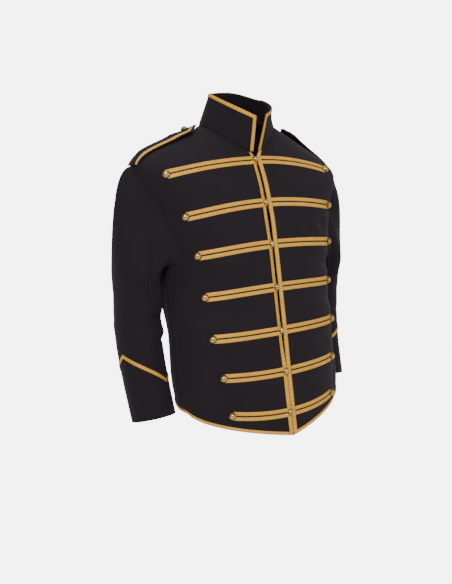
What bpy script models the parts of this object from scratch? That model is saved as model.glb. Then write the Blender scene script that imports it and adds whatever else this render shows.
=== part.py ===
"""Military parade jacket, worn form: a black wool shell with a stand collar, set-in two-piece sleeves,
shoulder straps, seven rows of doubled gold tape with domed brass buttons, and gold tape on every edge.

Metres, +Z up. The wearer faces -Y, and the wearer's left is +X. The origin is between the shoulders, at the
height where the collar meets the shoulder seams. Every cloth piece is a sheet laid on one of three surfaces
(body, collar, sleeve) and given its thickness by a Solidify modifier, so what is sewn on a panel is that
panel's own surface moved outwards.
"""

import math

import bmesh
import bpy
from mathutils import Vector

# Cloth, tape and seams.
CLOTH = 0.0022
COLLAR_CLOTH = 0.0026
STRAP_CLOTH = 0.0028
TAPE_WIDTH = 0.0076
EDGE_TAPE_WIDTH = 0.0092
TAPE_THICK = 0.0013
SEAM_HALF_GAP, SLEEVE_SEAM_HALF_GAP = 0.0003, 0.0006
LAY_GAP = 0.0006
TAPE_LIFT = CLOTH / 2 + LAY_GAP + TAPE_THICK / 2

# Rows of doubled tape across the fronts, from the top row down.
ROW_TAPE_SPACE = 0.0020
ROW_STEPS, ROW_END = 11, 0.004
ROWS = [
    # z at the front edge, where the tapes come out from under the edge tape, and for each side the distance
    # out of the end button and how far the end hangs below the front edge
    dict(z=-0.0655, start=0.0132, reach=(0.194, 0.172), hang=(0.018, 0.025)),
    dict(z=-0.1450, start=0.0116, reach=(0.167, 0.164), hang=(0.016, 0.016)),
    dict(z=-0.2230, start=0.0126, reach=(0.152, 0.156), hang=(0.010, 0.010)),
    dict(z=-0.3040, start=0.0116, reach=(0.144, 0.146), hang=(0.006, 0.006)),
    dict(z=-0.3862, start=0.0116, reach=(0.139, 0.143), hang=(0.001, 0.001)),
    dict(z=-0.4640, start=0.0116, reach=(0.127, 0.131), hang=(-0.003, -0.003)),
    dict(z=-0.5420, start=0.0116, reach=(0.117, 0.121), hang=(-0.009, -0.009)),
]

# Domed button: a turned profile of radius and height above its back, and the size of each kind.
BUTTON_PROFILE = [(0.0, 0.0), (0.80, 0.0), (1.0, 0.24), (0.86, 0.62), (0.48, 0.84), (0.0, 0.90)]
BUTTON_SIDES = 10
END_BUTTON, MIDDLE_BUTTON, STRAP_BUTTON = 0.0074, 0.0063, 0.0070
BUTTON_LIFT = CLOTH / 2 + LAY_GAP + TAPE_THICK + LAY_GAP

# Sections of the body from hem to neck seam. A section is a rounded ring: its half width, its y at the front,
# side and back, its z there, and how square its front and back halves are. left_low is how much lower the
# wearer's left side stands, tilt is how much the shoulder falls away to the back, and point is how straight the
# edge runs down from the side to a point in front.
BODY = [
    dict(z_front=-0.588, z_side=-0.533, z_back=-0.524, half=0.1735, y_front=-0.168, y_side=-0.0714,
         y_back=0.080, square_front=-0.015, square_back=0.02, left_low=-0.010, tilt=0.00, point=1.0),
    dict(z_front=-0.505, z_side=-0.475, z_back=-0.476, half=0.1775, y_front=-0.157, y_side=-0.0533,
         y_back=0.076, square_front=0.016, square_back=0.02, left_low=0.0, tilt=0.00, point=0.0),
    dict(z_front=-0.410, z_side=-0.390, z_back=-0.387, half=0.1770, y_front=-0.144, y_side=-0.0396,
         y_back=0.071, square_front=0.038, square_back=0.02, left_low=0.0, tilt=0.00, point=0.0),
    dict(z_front=-0.315, z_side=-0.305, z_back=-0.300, half=0.1772, y_front=-0.131, y_side=-0.0256,
         y_back=0.086, square_front=0.043, square_back=0.03, left_low=0.0, tilt=0.00, point=0.0),
    dict(z_front=-0.235, z_side=-0.225, z_back=-0.222, half=0.1840, y_front=-0.120, y_side=-0.0128,
         y_back=0.102, square_front=0.060, square_back=0.03, left_low=0.003, tilt=0.02, point=0.0),
    dict(z_front=-0.170, z_side=-0.147, z_back=-0.152, half=0.2000, y_front=-0.108, y_side=-0.0040,
         y_back=0.106, square_front=0.060, square_back=0.04, left_low=0.016, tilt=0.07, point=0.0),
    dict(z_front=-0.115, z_side=-0.068, z_back=-0.088, half=0.2270, y_front=-0.094, y_side=0.0000,
         y_back=0.092, square_front=0.045, square_back=0.04, left_low=0.033, tilt=0.16, point=0.0),
    dict(z_front=-0.078, z_side=-0.026, z_back=-0.028, half=0.1480, y_front=-0.079, y_side=-0.0060,
         y_back=0.068, square_front=0.010, square_back=0.02, left_low=0.015, tilt=0.20, point=0.0),
    dict(z_front=-0.0500, z_side=-0.0008, z_back=0.0130, half=0.0805, y_front=-0.0640, y_side=-0.0165,
         y_back=0.0480, square_front=-0.04, square_back=0.0, left_low=0.0, tilt=0.00, point=0.0),
]
TIP_ROW, NECK_ROW = 6, 8

# Armhole, from the armpit to the shoulder's tip: the section number, and the degrees round the body of its
# front and back edges.
ARMHOLE = [
    dict(at=3.60, front=90.0, back=90.0),
    dict(at=3.68, front=73.0, back=108.0),
    dict(at=3.97, front=64.5, back=115.0),
    dict(at=4.50, front=71.5, back=115.0),
    dict(at=5.06, front=75.0, back=111.0),
    dict(at=5.60, front=78.0, back=103.0),
    dict(at=6.00, front=90.0, back=90.0),
]

# Stand collar, its seam edge and its top edge, in the same columns as the body.
COLLAR = [
    dict(z_front=-0.0482, z_side=0.0012, z_back=0.0148, half=0.0809, y_front=-0.0645, y_side=-0.0165,
         y_back=0.0484, square_front=-0.04, square_back=0.0, left_low=0.0, tilt=0.0, point=0.0),
    dict(z_front=0.0150, z_side=0.0620, z_back=0.0665, half=0.0590, y_front=-0.0855, y_side=-0.0135,
         y_back=0.0180, square_front=0.02, square_back=0.0, left_low=0.012, tilt=0.0, point=1.0),
]
COLLAR_HEIGHT = 0.066
COLLAR_STEPS = 15

# How far each front edge stands from the middle at body section numbers, and each collar end at its seam and top.
FRONT_OPENING = {
    -1: [(0.0, 0.0012), (4.2, 0.0013), (4.9, 0.0024), (5.5, 0.0013), (7.6, 0.0012), (8.0, 0.0020)],
    1: [(0.0, 0.0012), (4.2, 0.0013), (4.9, 0.0024), (5.5, 0.0013), (7.5, 0.0012), (7.7, 0.0034), (8.0, 0.0118)],
}
COLLAR_OPENING = {-1: (0.0020, 0.0056), 1: (0.0118, 0.0155)}

# Sections of the arm from below the armpit to the cuff: centre (x out from the body's middle), half width
# sideways and half width front to back. The wearer's left cuff is held a little higher.
ARM = [
    dict(x=0.2236, y=0.0195, z=-0.280, half_side=0.0400, half_fore=0.0580),
    dict(x=0.2200, y=0.0236, z=-0.330, half_side=0.0438, half_fore=0.0538),
    dict(x=0.2205, y=0.0240, z=-0.400, half_side=0.0418, half_fore=0.0500),
    dict(x=0.2168, y=0.0138, z=-0.470, half_side=0.0412, half_fore=0.0476),
    dict(x=0.2125, y=-0.0051, z=-0.5476, half_side=0.0408, half_fore=0.0453),
]
LEFT_CUFF_HIGHER = 0.010
# How the sleeve leaves the armhole, at the top, at the front and back, and under the arm: lean away from the
# body's surface in degrees, and the strength of the pull. The wearer's left arm is held forward, which fills its
# sleeve head more.
SLEEVE_LEAVES = dict(top_lean=64.0, side_lean=30.0, under_lean=70.0, top_pull=0.115, side_pull=0.078, under_pull=0.030)
LEFT_HEAD_FULLER = 1.4
SLEEVE_SEAM = 120.0
SLEEVE_COLUMN = 15.0
CAP_STEPS, ARM_STEPS = 8, 10

# Pointed cuff tape: where its outer peak stands on each side in degrees round from the outside, and its
# distance from the cuff's end at the outer peak, at both seams and at the inner peak.
CUFF_TURN = {-1: 10.0, 1: -14.0}
CUFF_PEAK, CUFF_VALLEY, CUFF_INNER = 0.128, 0.066, 0.084

# Shoulder strap, sewn in at the sleeve head and pointed at the neck end.
STRAP_LENGTH, STRAP_HALF, STRAP_POINT = 0.148, 0.021, 0.020
STRAP_TAPE_INSET, STRAP_TAPE_WIDTH = 0.0015, 0.007
STRAP_LIFT = CLOTH / 2 + 0.0010 + STRAP_CLOTH / 2
STRAP_TIP_RISE = 0.007
# How much of the shoulder's roundness the stiff strap doesn't follow.
STRAP_FLAT = 0.6

# Large soft folds of the fronts: a line in x and z, its half width and its height, minus for a trough.
BODY_FOLDS = [
    dict(x1=0.172, z1=-0.232, x2=0.128, z2=-0.188, half=0.012, height=-0.0048),
    dict(x1=0.168, z1=-0.252, x2=0.108, z2=-0.196, half=0.011, height=0.0040),
    dict(x1=0.172, z1=-0.285, x2=0.095, z2=-0.258, half=0.014, height=-0.0036),
    dict(x1=0.190, z1=-0.100, x2=0.176, z2=-0.200, half=0.011, height=0.0016),
    dict(x1=0.060, z1=-0.046, x2=0.100, z2=-0.105, half=0.013, height=-0.0022),
    dict(x1=0.175, z1=-0.350, x2=0.105, z2=-0.340, half=0.016, height=-0.0024),
    dict(x1=0.172, z1=-0.400, x2=0.095, z2=-0.425, half=0.016, height=-0.0028),
    dict(x1=0.172, z1=-0.470, x2=0.150, z2=-0.540, half=0.018, height=0.0024),
]
# Large soft folds of a sleeve: where they cross it (degrees round from the outside, section number), their
# reach in each way, how far they slant, and their height.
SLEEVE_FOLDS = [
    dict(turn=98.0, at=0.95, turn_half=12.0, at_half=0.70, slant=4.0, height=-0.0046),
    dict(turn=74.0, at=1.1, turn_half=13.0, at_half=0.80, slant=6.0, height=0.0032),
    dict(turn=112.0, at=2.35, turn_half=45.0, at_half=0.17, slant=0.0, height=-0.0042),
    dict(turn=120.0, at=2.75, turn_half=42.0, at_half=0.17, slant=0.0, height=0.0034),
    dict(turn=-80.0, at=1.2, turn_half=15.0, at_half=0.70, slant=-6.0, height=-0.0040),
]

RIGHT, LEFT = -1, 1
SIDES = {"right": RIGHT, "left": LEFT}


def between(rows, at):
    """A table's row at a fractional row number, on a smooth curve through the rows."""
    at = min(max(at, 0.0), len(rows) - 1.0)
    first = min(int(at), len(rows) - 2)
    share = at - first
    values = {}
    for key in rows[0]:
        b, c = rows[first][key], rows[first + 1][key]
        a = rows[first - 1][key] if first > 0 else 2 * b - c
        d = rows[first + 2][key] if first + 2 < len(rows) else 2 * c - b
        values[key] = b + 0.5 * share * (c - a + share * (2 * a - 5 * b + 4 * c - d + share * (3 * (b - c) + d - a)))
    return values


def line_at(points, at):
    """A value read from a short list of (place, value), straight between them."""
    for (place, value), (next_place, next_value) in zip(points, points[1:]):
        if at <= next_place:
            return value + (next_value - value) * max(0.0, at - place) / (next_place - place)
    return points[-1][1]


def ring_point(rows, side, turn, at):
    """A point of the body or the collar: turn is 0 at the front, 90 at the side and 180 at the back."""
    ring = between(rows, at)
    angle = math.radians(turn)
    front = turn < 90.0
    square = ring["square_front"] if front else ring["square_back"]
    depth = ring["y_side"] - ring["y_front"] if front else ring["y_back"] - ring["y_side"]
    z_end = ring["z_front"] if front else ring["z_back"]
    z_side = ring["z_side"] - (ring["left_low"] if side == LEFT else 0.0)
    x = side * ring["half"] * (math.sin(angle) + square * math.sin(3 * angle)) / (1 - square)
    y = ring["y_side"] + depth * (square * math.cos(3 * angle) - math.cos(angle)) / (1 - square)
    z_side -= ring["tilt"] * (y - ring["y_side"])
    share = math.cos(angle) ** 2
    if front:
        share += ring["point"] * (1.0 - abs(turn) / 90.0 - share)
    return Vector((x, y, z_end * share + z_side * (1.0 - share)))


def row_reach(row, side):
    """How far out a row's end button is on a side."""
    return row["reach"][0 if side == RIGHT else 1]


def row_height(row, side, x):
    """The height of a row's middle line at a distance out from the front edge."""
    return row["z"] - row["hang"][0 if side == RIGHT else 1] * (x / row_reach(row, side)) ** 2


def fold_height(point):
    """How far the front's large folds stand out at a point. The rows of tape hold the cloth flat."""
    x = abs(point.x)
    side = LEFT if point.x > 0 else RIGHT
    if point.y > -0.02:
        return 0.0
    height = 0.0
    for fold in BODY_FOLDS:
        start, end = Vector((fold["x1"], fold["z1"])), Vector((fold["x2"], fold["z2"]))
        along = end - start
        here = Vector((x, point.z)) - start
        share = min(max(here.dot(along) / along.length_squared, -0.15), 1.15)
        away = (here - along * share).length / fold["half"]
        height += fold["height"] * math.sin(math.pi * (share + 0.15) / 1.3) * math.exp(-away * away)
    for row in ROWS:
        if x < row_reach(row, side) + 0.020:
            height *= min(1.0, max(0.0, abs(point.z - row_height(row, side, x)) - 0.017) / 0.012)
    return height * min(1.0, (-0.02 - point.y) / 0.02)


def surface_frame(surface, u, v, step_u, step_v):
    """A surface's point, outward normal and its two speeds at (u, v)."""
    along_u = (surface(u + step_u, v) - surface(u - step_u, v)) / (2 * step_u)
    along_v = (surface(u, v + step_v) - surface(u, v - step_v)) / (2 * step_v)
    return surface(u, v), along_u.cross(along_v).normalized(), along_u, along_v


def body(side, turn, at, lift=0.0):
    """A point of the jacket's body, moved out by lift."""
    at = min(max(at, 0.002), NECK_ROW - 0.002)
    point, normal, _, _ = surface_frame(lambda u, v: ring_point(BODY, side, u, v), turn, at, 0.5, 0.02)
    return point + normal * side * (fold_height(point) + lift)


def body_frame(side, turn, at):
    """Point, outward normal and the two speeds of the folded body surface."""
    point, normal, along_turn, along_at = surface_frame(lambda u, v: body(side, u, v), turn, at, 0.5, 0.02)
    return point, normal * side, along_turn, along_at


def front_edge(side, at):
    """The turn of a front edge, from its distance from the middle."""
    ring = between(BODY, at)
    square = ring["square_front"]
    half = line_at(FRONT_OPENING[side], at)
    return math.degrees(half * (1 - square) / (ring["half"] * (1 + 3 * square)))


def armhole(share, back=False):
    """(turn, section number) on the armhole, from the armpit at share 0 to the shoulder's tip at share 1."""
    if not 0.0 <= share <= 1.0:
        share, back = (-share if share < 0.0 else 2.0 - share), not back
    row = between(ARMHOLE, share * (len(ARMHOLE) - 1))
    return row["back" if back else "front"], row["at"]


def panel_rows():
    """The section numbers of a panel's rows with the turns of its front and back armhole edges."""
    low, hole, high = 14, int(180.0 / SLEEVE_COLUMN), 4
    armpit = ARMHOLE[0]["at"]
    rows = [(armpit * i / low, 90.0, 90.0) for i in range(low)]
    for i in range(hole + 1):
        front, at = armhole(i / hole)
        back, _ = armhole(i / hole, back=True)
        rows.append((at, front, back))
    return rows + [(TIP_ROW + (NECK_ROW - TIP_ROW) * i / high, 90.0, 90.0) for i in range(1, high + 1)]


def seam_turn(side, turn, at):
    """Half the seam's gap as degrees of turn."""
    _, _, along_turn, _ = body_frame(side, turn, at)
    return SEAM_HALF_GAP / along_turn.length


def material(name, colour, roughness, metallic=0.0):
    """A plain Principled material."""
    made = bpy.data.materials.new(name)
    made.use_nodes = True
    shader = made.node_tree.nodes["Principled BSDF"]
    shader.inputs["Base Color"].default_value = (*colour, 1.0)
    shader.inputs["Roughness"].default_value = roughness
    shader.inputs["Metallic"].default_value = metallic
    return made


def sheet(name, points, thickness, finish, closed=False, keep=None):
    """A cloth piece: a grid whose points are given row by row, with a wall of that thickness.
    keep(row, column) says which of its cells stay."""
    rows, columns = len(points), len(points[0])
    mesh = bmesh.new()
    bmesh.ops.create_grid(mesh, x_segments=columns - 1, y_segments=rows - 1, size=1.0)
    places = {}
    for vertex in mesh.verts:
        column = round((vertex.co.x + 1) / 2 * (columns - 1))
        row = round((vertex.co.y + 1) / 2 * (rows - 1))
        places[vertex] = (row, column)
    if keep:
        gone = []
        for face in mesh.faces:
            cell = min(places[v][0] for v in face.verts), min(places[v][1] for v in face.verts)
            if not keep(*cell):
                gone.append(face)
        bmesh.ops.delete(mesh, geom=gone, context="FACES")
    for vertex in mesh.verts:
        row, column = places[vertex]
        vertex.co = points[row][column]
    if closed:
        bmesh.ops.remove_doubles(mesh, verts=mesh.verts, dist=1e-6)
    data = bpy.data.meshes.new(name)
    mesh.to_mesh(data)
    mesh.free()
    data.shade_smooth()
    data.materials.append(finish)
    made = bpy.data.objects.new(name, data)
    bpy.context.scene.collection.objects.link(made)
    wall = made.modifiers.new("wall", "SOLIDIFY")
    wall.thickness = thickness
    wall.offset = 0.0
    wall.use_even_offset = True
    return made


def front_panel(name, side, finish):
    """One front, from its edge to the side seam, the armhole and the shoulder seam."""
    columns = 14
    points = []
    for at, hole, _ in panel_rows():
        start = front_edge(side, at)
        end = hole - (seam_turn(side, 90.0, at) if hole == 90.0 else 0.0)
        points.append([body(side, start + (end - start) * i / columns, at) for i in range(columns + 1)])
    return sheet(name, points, CLOTH, finish)


def back_panel(name, finish):
    """The back, in one piece from side seam to side seam."""
    half_columns = 9
    points = []
    for at, _, hole in panel_rows():
        row = []
        for side in (RIGHT, LEFT):
            start = hole + (seam_turn(side, 90.0, at) if hole == 90.0 else 0.0)
            turns = [start + (180.0 - start) * i / half_columns for i in range(half_columns + 1)]
            half = [body(side, turn, at) for turn in turns]
            row += half if side == RIGHT else half[-2::-1]
        points.append(row)
    return sheet(name, points, CLOTH, finish)


def collar(side, turn, at, lift=0.0):
    """A point of the collar, moved out by lift. at is 0 at its seam and 1 at its top edge."""
    at = min(max(at, 0.002), 0.998)
    point, normal, _, _ = surface_frame(lambda u, v: ring_point(COLLAR, side, u, v), turn, at, 0.5, 0.01)
    return point + normal * side * lift


def collar_turns(side, at):
    """The turns of the collar's columns from its end to the middle of the back."""
    seam, top = COLLAR_OPENING[side]
    half = seam + (top - seam) * at
    start = math.degrees(math.asin(half / between(COLLAR, at)["half"]))
    return [start + (180.0 - start) * i / COLLAR_STEPS for i in range(COLLAR_STEPS + 1)]


def mirrored(line):
    """A line of points given for both sides, joined at the middle of the back."""
    return line(RIGHT) + line(LEFT)[-2::-1]


def stand_collar(finish):
    """The stand collar, open at the front."""
    points = []
    for i in range(4):
        at = i / 3
        points.append(mirrored(lambda side: [collar(side, turn, at) for turn in collar_turns(side, at)]))
    return sheet("collar", points, COLLAR_CLOTH, finish)


def collar_tape(finish):
    """Gold tape up one collar end, round the top edge and down the other end."""
    lift = COLLAR_CLOTH / 2 + LAY_GAP + 0.0003 + TAPE_THICK / 2

    def line(inset):
        top = 1 - inset / COLLAR_HEIGHT
        turn_in = math.degrees(inset / 0.0665)
        rising = [0.004 + (top - 0.004) * i / 4 for i in range(5)]

        def points(side):
            places = [(collar_turns(side, at)[0] + turn_in, at) for at in rising]
            places += [(turn, top) for turn in collar_turns(side, top)[1:]]
            return [collar(side, turn, at, lift) for turn, at in places]

        return points

    return sheet("collar_tape", [mirrored(line(TAPE_WIDTH)), mirrored(line(0.0004))], TAPE_THICK, finish)


def find_on_front(side, x, z, guess):
    """(turn, section number) of the front point with this x and z."""
    turn, at = guess
    for _ in range(12):
        here, _, along_turn, along_at = body_frame(side, turn, at)
        miss_x, miss_z = side * x - here.x, z - here.z
        spread = along_turn.x * along_at.z - along_turn.z * along_at.x
        turn += (miss_x * along_at.z - miss_z * along_at.x) / spread
        at += (miss_z * along_turn.x - miss_x * along_turn.z) / spread
        turn, at = min(max(turn, 0.0), 100.0), min(max(at, 0.0), NECK_ROW - 0.01)
        if abs(miss_x) + abs(miss_z) < 1e-6:
            break
    return turn, at


def walk(side, place, step):
    """(turn, section number) reached by a small step given as a vector along the body."""
    turn, at = place
    target = body(side, turn, at) + step
    for _ in range(3):
        here, _, along_turn, along_at = body_frame(side, turn, at)
        miss = target - here
        a, b, c = along_turn.dot(along_turn), along_turn.dot(along_at), along_at.dot(along_at)
        d, e = miss.dot(along_turn), miss.dot(along_at)
        turn += (d * c - e * b) / (a * c - b * b)
        at += (e * a - d * b) / (a * c - b * b)
    return turn, at


def row_places(side, row):
    """Places on the front along a row's middle line, from the edge tape out to the row's end."""
    places = []
    guess = (5.0, 1.0 + 6.0 * (0.56 + row["z"]) / 0.5)
    reach = row_reach(row, side)
    for i in range(ROW_STEPS + 1):
        x = reach if i == ROW_STEPS else row["start"] + (reach - ROW_END - row["start"]) * i / (ROW_STEPS - 1)
        guess = find_on_front(side, x, row_height(row, side, x), guess)
        places.append(guess)
    return places


def across(side, places, i):
    """The unit vector up the cloth, square to a line of places."""
    before, after = places[max(i - 1, 0)], places[min(i + 1, len(places) - 1)]
    along = (body(side, *after) - body(side, *before)).normalized()
    _, normal, _, _ = body_frame(side, *places[i])
    up = normal.cross(along).normalized()
    return up if up.z > 0 else -up


def row_tape(name, side, row, finish):
    """A row of doubled tape: two bands side by side, joined at the outer end under the button."""
    places = row_places(side, row)
    near, far = ROW_TAPE_SPACE / 2, ROW_TAPE_SPACE / 2 + TAPE_WIDTH
    points = [[] for _ in range(4)]
    for i, place in enumerate(places):
        up = across(side, places, i)
        for line, edge in zip(points, (-far, -near, near, far)):
            line.append(body(side, *walk(side, place, up * edge), TAPE_LIFT))
    return sheet(name, points, TAPE_THICK, finish, keep=lambda r, c: r != 1 or c == ROW_STEPS - 1)


def edge_tape(name, side, finish):
    """Tape down a front edge, from the neck seam to the hem."""
    steps = 36
    inner, outer = [], []
    for i in range(steps + 1):
        at = 0.012 + (NECK_ROW - 0.05) * i / steps
        start = front_edge(side, at)
        _, _, along_turn, _ = body_frame(side, start + 2.0, at)
        for line, inset in ((inner, 0.0003), (outer, EDGE_TAPE_WIDTH)):
            line.append(body(side, start + inset / along_turn.length, at, TAPE_LIFT))
    return sheet(name, [inner, outer], TAPE_THICK, finish)


def hem_tape(finish):
    """Tape round the hem, from one front edge tape to the other."""
    steps = 26

    def line(inset):
        start = front_edge(RIGHT, 0.0) + 3.7
        places = [start + (180.0 - start) * i / steps for i in range(steps + 1)]

        def points(side):
            found = []
            for turn in places:
                _, _, _, along_at = body_frame(side, turn, 0.05)
                found.append(body(side, turn, inset / along_at.length, TAPE_LIFT))
            return found

        return points

    return sheet("hem_tape", [mirrored(line(0.0005)), mirrored(line(TAPE_WIDTH))], TAPE_THICK, finish)


def turned(name, radius, finish):
    """A button: its profile turned about Z."""
    mesh = bmesh.new()
    points = [mesh.verts.new((out * radius, 0.0, height * radius)) for out, height in BUTTON_PROFILE]
    for a, b in zip(points, points[1:]):
        mesh.edges.new((a, b))
    bmesh.ops.spin(mesh, geom=mesh.verts[:] + mesh.edges[:], cent=(0, 0, 0), axis=(0, 0, 1), dvec=(0, 0, 0),
                   angle=math.tau, steps=BUTTON_SIDES, use_merge=True)
    bmesh.ops.remove_doubles(mesh, verts=mesh.verts, dist=1e-5)
    bmesh.ops.recalc_face_normals(mesh, faces=mesh.faces)
    data = bpy.data.meshes.new(name)
    mesh.to_mesh(data)
    mesh.free()
    data.shade_smooth()
    data.materials.append(finish)
    return data


def button(name, shape, point, normal):
    """One button, its back on the point and its dome along the normal."""
    made = bpy.data.objects.new(name, shape)
    made.location = point
    made.rotation_mode = "QUATERNION"
    made.rotation_quaternion = normal.to_track_quat("Z", "Y")
    bpy.context.scene.collection.objects.link(made)
    return made


def row_buttons(number, row, end_shape, middle_shape):
    """The three buttons of a row: on the right front edge and at both outer ends."""
    buttons = [("middle", RIGHT, 0.0042, middle_shape)]
    buttons += [(word, side, row_reach(row, side) + 0.0015, end_shape) for word, side in SIDES.items()]
    for word, side, x, shape in buttons:
        guess = row_places(side, row)[0 if word == "middle" else -1]
        place = find_on_front(side, x, row_height(row, side, x), guess)
        point, normal, _, _ = body_frame(side, *place)
        button(f"button_{number}_{word}", shape, point + normal * BUTTON_LIFT, normal)


def hole_place(turn):
    """(turn on the body, section number) of the armhole at a turn from the shoulder's tip round by the front."""
    turn %= 360.0
    return armhole((turn - 180.0) / 180.0, back=True) if turn > 180.0 else armhole(1.0 - turn / 180.0)


def hole_start(side, turn):
    """Where the sleeve leaves the armhole, and which way."""
    edge = body(side, *hole_place(turn))
    _, normal, _, _ = body_frame(side, *hole_place(turn))
    along = (body(side, *hole_place(turn + 4.0)) - body(side, *hole_place(turn - 4.0))).normalized()
    inwards = normal.cross(along).normalized()
    if inwards.dot(Vector((side * 0.205, -0.005, -0.150)) - edge) < 0:
        inwards = -inwards
    top, under = max(math.cos(math.radians(turn)), 0.0) ** 1.3, max(-math.cos(math.radians(turn)), 0.0) ** 2
    parts = [("top", top), ("side", 1.0 - top - under), ("under", under)]
    lean = math.radians(sum(SLEEVE_LEAVES[word + "_lean"] * share for word, share in parts))
    pull = sum(SLEEVE_LEAVES[word + "_pull"] * share for word, share in parts)
    if side == LEFT:
        pull *= 1.0 + (LEFT_HEAD_FULLER - 1.0) * min(1.0, 2.0 * top)
    start = edge + inwards * (2 * SEAM_HALF_GAP + CLOTH / 2 * math.sin(lean))
    return start, (inwards * math.cos(lean) + normal * math.sin(lean)) * pull


def arm_centre(side, at):
    """Centre of an arm section."""
    row = between(ARM, at)
    higher = LEFT_CUFF_HIGHER * at / (len(ARM) - 1) if side == LEFT else 0.0
    return Vector((side * row["x"], row["y"], row["z"] + higher))


def arm_down(side, at):
    """The way down the arm at a section."""
    at = min(max(at, 0.02), len(ARM) - 1.02)
    return (arm_centre(side, at + 0.02) - arm_centre(side, at - 0.02)).normalized()


def arm_point(side, turn, at):
    """A point of the sleeve below the armpit: turn is 0 outside, 90 in front and 180 inside."""
    row = between(ARM, at)
    down = arm_down(side, at)
    outward = Vector((side, 0, 0))
    outward = (outward - down * outward.dot(down)).normalized()
    forward = down.cross(outward).normalized() * side
    forward = forward if forward.y < 0 else -forward
    angle = math.radians(turn)
    across_arm = outward * row["half_side"] * math.cos(angle) + forward * row["half_fore"] * math.sin(angle)
    return arm_centre(side, at) + across_arm


def sleeve_smooth(side, turn, at):
    """The sleeve before its folds: sections 0 to 1 are the sleeve head, and then the arm."""
    turn %= 360.0
    if at > 1.0:
        return arm_point(side, turn, at - 1.0)
    start, leave = hole_start(side, turn)
    end = arm_point(side, turn, 0.0)
    arrive = arm_down(side, 0.0) * (end - start).length * 0.95
    a, b = at, at * at
    c = b * at
    return start * (2 * c - 3 * b + 1) + leave * (c - 2 * b + a) + end * (3 * b - 2 * c) + arrive * (c - b)


def sleeve_fold(turn, at):
    """How far a sleeve's large folds stand out, from nothing at the armhole to nothing at the cuff tape."""
    height = 0.0
    for fold in SLEEVE_FOLDS:
        off = (turn - fold["turn"] - fold["slant"] * (at - fold["at"]) / fold["at_half"] + 180.0) % 360.0 - 180.0
        a, b = off / fold["turn_half"], (at - fold["at"]) / fold["at_half"]
        height += fold["height"] * math.exp(-a * a - b * b)
    calm = min(max((at - 0.2) * 3, 0.0), 1.0) * min(max((3.25 - at) * 4, 0.0), 1.0)
    return height * calm


def sleeve(side, turn, at, lift=0.0):
    """A point of the sleeve, moved out by lift."""
    inner = min(max(at, 0.02), len(ARM) - 0.02)
    _, normal, _, _ = surface_frame(lambda u, v: sleeve_smooth(side, u, v), turn, inner, 2.0, 0.02)
    outside = normal.dot(sleeve_smooth(side, turn, inner) - sleeve_smooth(side, turn + 180.0, inner))
    normal = normal if outside > 0 else -normal
    return sleeve_smooth(side, turn, at) + normal * (sleeve_fold(turn, at) + lift)


def sleeve_rows():
    """The section numbers of a sleeve's rows, closer together at the sleeve head."""
    cap = [(i / CAP_STEPS) ** 1.3 for i in range(CAP_STEPS)]
    return cap + [1.0 + (len(ARM) - 1) * i / ARM_STEPS for i in range(ARM_STEPS + 1)]


def sleeve_piece(name, side, start, end, finish):
    """The top or under piece of a sleeve, from seam to seam."""
    columns = round((end - start) / SLEEVE_COLUMN)
    points = []
    for at in sleeve_rows():
        turns = [start + (end - start) * i / columns for i in range(columns + 1)]
        for edge, step in ((0, 1.0), (columns, -1.0)):
            speed = (sleeve_smooth(side, turns[edge] + step, at) - sleeve_smooth(side, turns[edge], at)).length
            turns[edge] += step * SLEEVE_SEAM_HALF_GAP / speed
        points.append([sleeve(side, turn, at) for turn in turns])
    return sheet(name, points, CLOTH, finish)


def cuff_distance(side, turn):
    """How far the middle of the cuff tape lies from the cuff's end, straight between its peaks and valleys."""
    off = (turn + 180.0) % 360.0 - 180.0
    peak = CUFF_TURN[side]
    marks = [(-180.0, CUFF_INNER), (-SLEEVE_SEAM, CUFF_VALLEY), (peak, CUFF_PEAK), (SLEEVE_SEAM, CUFF_VALLEY)]
    return line_at(marks + [(180.0, CUFF_INNER)], off)


def cuff_tape(name, side, finish):
    """The pointed tape round a cuff."""
    low, high = [], []
    turns = [i * SLEEVE_COLUMN / 2 for i in range(int(720.0 / SLEEVE_COLUMN))]
    turns = [turn for turn in turns if turn % SLEEVE_COLUMN == 0 or abs(turn - CUFF_TURN[side] % 360.0) < 8.0]
    for turn in turns + [360.0]:
        distance, at = 0.0, float(len(ARM))
        before = sleeve(side, turn, at)
        marks = []
        middle = cuff_distance(side, turn)
        for target in (middle - TAPE_WIDTH * 0.56, middle + TAPE_WIDTH * 0.56):
            while distance < target:
                at -= 0.01
                here = sleeve(side, turn, at)
                distance += (here - before).length
                before = here
            marks.append(at)
        low.append(sleeve(side, turn, marks[0], TAPE_LIFT))
        high.append(sleeve(side, turn, marks[1], TAPE_LIFT))
    low[-1], high[-1] = low[0].copy(), high[0].copy()
    return sheet(name, [low, high], TAPE_THICK, finish, closed=True)


def ridge_at(side, along):
    """The section number at a distance along the shoulder seam, inwards from the sleeve head."""
    at, distance = TIP_ROW + 0.02, 0.0
    before = body(side, 90.0, at)
    while distance < along and at < NECK_ROW - 0.03:
        at += 0.01
        here = body(side, 90.0, at)
        distance += (here - before).length
        before = here
    return at


def strap_point(side, along, sideways, lift=0.0):
    """A point of a shoulder strap: along from the sleeve head to the neck, and sideways to the front."""
    at = ridge_at(side, along)
    _, normal, _, along_at = body_frame(side, 90.0, at)
    forward = normal.cross(along_at).normalized()
    forward = forward if forward.y < 0 else -forward
    rise = STRAP_LIFT + STRAP_TIP_RISE * (along / STRAP_LENGTH) ** 4 + lift
    follows = body(side, *walk(side, (90.0, at), forward * sideways), rise)
    flat = body(side, 90.0, at) + forward * sideways + normal * rise
    return follows.lerp(flat, STRAP_FLAT)


def strap_half(along):
    """Half the strap's width, which comes to a blunt point at the neck end."""
    return STRAP_HALF * min(1.0, 0.14 + 0.86 * (STRAP_LENGTH - along) / STRAP_POINT)


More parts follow.
